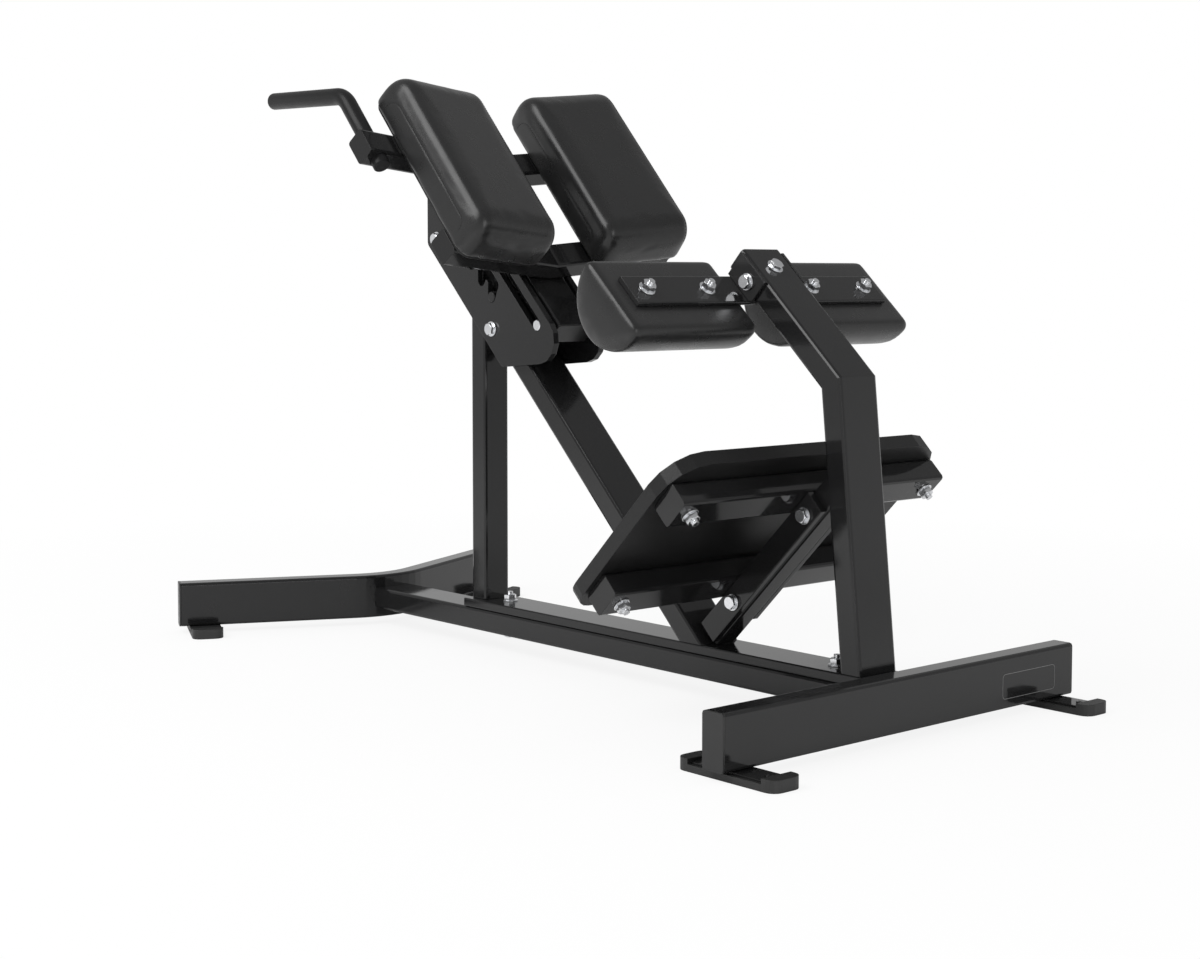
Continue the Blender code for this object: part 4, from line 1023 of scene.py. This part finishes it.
def ankle_outline(inset):
    """The end view of an ankle pad: a D with its flat side on the bar."""
    radius = ankle_r - inset - ANKLE_PUFF * PUFF_SHARE
    corner = ANKLE_ROUND - inset / 2
    level = ankle_flat - ankle_centre - inset - corner
    swing = math.asin(level / (radius - corner))
    out = (radius - corner) * math.cos(swing)
    angles = [math.pi - swing + (math.pi + 2 * swing) * step / ANKLE_STEPS
              for step in range(ANKLE_STEPS + 1)]
    points = [(radius * math.cos(angle), radius * math.sin(angle)) for angle in angles]
    for middle, start, steps in ((out, swing, range(1, CORNER_STEPS + 1)),
                                 (-out, math.pi / 2, range(CORNER_STEPS))):
        for step in steps:
            angle = start + (math.pi / 2 - swing) * step / CORNER_STEPS
            points.append((middle + corner * math.cos(angle), level + corner * math.sin(angle)))
    return points


ankle_place = Matrix((post_slant, post_face, -ACROSS)).transposed().to_4x4()
ankle_place.translation = post_slant * ankle_mid + post_face * ankle_centre - ACROSS * ankle_in
ankle_pad = roll_mesh("ankle_cushion_near", ankle_outline, ankle_out - ankle_in, ANKLE_EDGE,
                      ankle_place, leather)
remesh(ankle_pad, VOXEL)
ankle_hold = ankle_flat - HELD_BAND
blow_up(ankle_pad, lambda point: point.dot(post_face) > ankle_hold, ANKLE_PUFF)
smooth_cover(ankle_pad)
far_ankle_pad = across_bench(ankle_pad, "ankle_cushion_far")
for piece, side in ((ankle_pad, "near"), (far_ankle_pad, "far")):
    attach(piece, "frame")
    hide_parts("ankle_pad_" + side)


# Studio: a pale floor that fades to white, white walls under a softer ceiling, and two large soft
# lamps, with the camera where the photograph was taken from.
WHITE = (1, 1, 1, 1)
FLOOR_HALF = 14.0
FLOOR_LEVEL = -0.0003
FLOOR_TONE = (0.82, 0.82, 0.82, 1)
FLOOR_ROUGH = 0.9
FADE_SHARE = (0.86, 1.0)
FADE_REACH = (0.6, 2.2)
DAYLIGHT = 0.80
WALL_WHITE = 0.74
CEILING_WHITE = 0.34
CEILING_RISE = (0.02, 0.42)
CAMERA_PLACE = Vector((2.3706, -2.0454, 0.6236))
CAMERA_YAW = math.radians(139.11)
CAMERA_PITCH = math.radians(3.787)
CAMERA_SHIFT = (0.00875, -0.06)
FOCUS_PIXELS = 1967.0
IMAGE_WIDTH = 1200.0
SENSOR = 36.0


def floor_finish():
    """Pale floor: mostly its own white to the camera, so that only a light shadow shows on it."""
    material, tree, shader, place = blank_finish("studio_floor")
    feed(tree, shader, {"Base Color": FLOOR_TONE, "Roughness": FLOOR_ROUGH,
                        "Specular IOR Level": 0.0})
    length = tree.nodes.new("ShaderNodeVectorMath")
    length.operation = "LENGTH"
    tree.links.new(place, length.inputs[0])
    fade = span(tree, length.outputs["Value"], *FADE_SHARE, *FADE_REACH)
    seen = tree.nodes.new("ShaderNodeLightPath").outputs["Is Camera Ray"]
    own_white = add(tree, "ShaderNodeEmission")
    mix = add(tree, "ShaderNodeMixShader", {"Fac": calc(tree, "MULTIPLY", fade, seen),
                                            1: shader.outputs["BSDF"], 2: own_white})
    tree.links.new(mix, tree.nodes["Material Output"].inputs["Surface"])
    return material


floor_mesh = bpy.data.meshes.new("studio_floor")
floor_mesh.from_pydata([(x * FLOOR_HALF, y * FLOOR_HALF, FLOOR_LEVEL)
                        for x, y in ((-1, -1), (1, -1), (1, 1), (-1, 1))], [], [(0, 1, 2, 3)])
floor_mesh.materials.append(floor_finish())
floor = bpy.data.objects.new("studio_floor", floor_mesh)
bpy.context.collection.objects.link(floor)

world = bpy.data.worlds.new("surround")
world.use_nodes = True
bpy.context.scene.world = world
sky = world.node_tree
daylight = sky.nodes["Background"]
feed(sky, daylight, {"Color": WHITE, "Strength": DAYLIGHT})
height = parted(sky, sky.nodes.new("ShaderNodeTexCoord").outputs["Generated"])[2]
ceiling = span(sky, height, WALL_WHITE, CEILING_WHITE, *CEILING_RISE)
rays = sky.nodes.new("ShaderNodeLightPath").outputs
seen = rays["Is Camera Ray"]
glossy = calc(sky, "MAXIMUM", seen, rays["Is Glossy Ray"])
sharp = calc(sky, "MAXIMUM", glossy, rays["Is Transmission Ray"])
walls = add(sky, "ShaderNodeBackground", {"Color": WHITE,
                                          "Strength": calc(sky, "MAXIMUM", seen, ceiling)})
surround = add(sky, "ShaderNodeMixShader", {"Fac": sharp, 1: daylight.outputs[0], 2: walls})
sky.links.new(surround, sky.nodes["World Output"].inputs["Surface"])


def soft_lamp(name, place, target, size, power):
    """A large square lamp aimed at a point."""
    lamp = bpy.data.lights.new(name, "AREA")
    lamp.size = size
    lamp.energy = power
    holder = bpy.data.objects.new(name, lamp)
    holder.location = place
    holder.rotation_euler = (Vector(target) - Vector(place)).to_track_quat("-Z", "Y").to_euler()
    bpy.context.collection.objects.link(holder)


soft_lamp("key_lamp", place=(-0.5, -2.6, 2.8), target=(0.0, 0.0, 0.6), size=2.2, power=66.0)
soft_lamp("front_lamp", place=(3.8, -1.3, 0.9), target=(0.0, 0.0, 0.4), size=1.6, power=20.0)

camera = bpy.data.cameras.new("camera")
camera.sensor_width = SENSOR
camera.lens = FOCUS_PIXELS * SENSOR / IMAGE_WIDTH
camera.shift_x, camera.shift_y = CAMERA_SHIFT
camera_holder = bpy.data.objects.new("camera", camera)
aim = Vector((math.cos(CAMERA_YAW) * math.cos(CAMERA_PITCH),
              math.sin(CAMERA_YAW) * math.cos(CAMERA_PITCH), -math.sin(CAMERA_PITCH)))
camera_holder.rotation_euler = aim.to_track_quat("-Z", "Y").to_euler()
camera_holder.location = CAMERA_PLACE
bpy.context.collection.objects.link(camera_holder)
bpy.context.scene.camera = camera_holder
bpy.context.scene.view_settings.view_transform = "Standard"
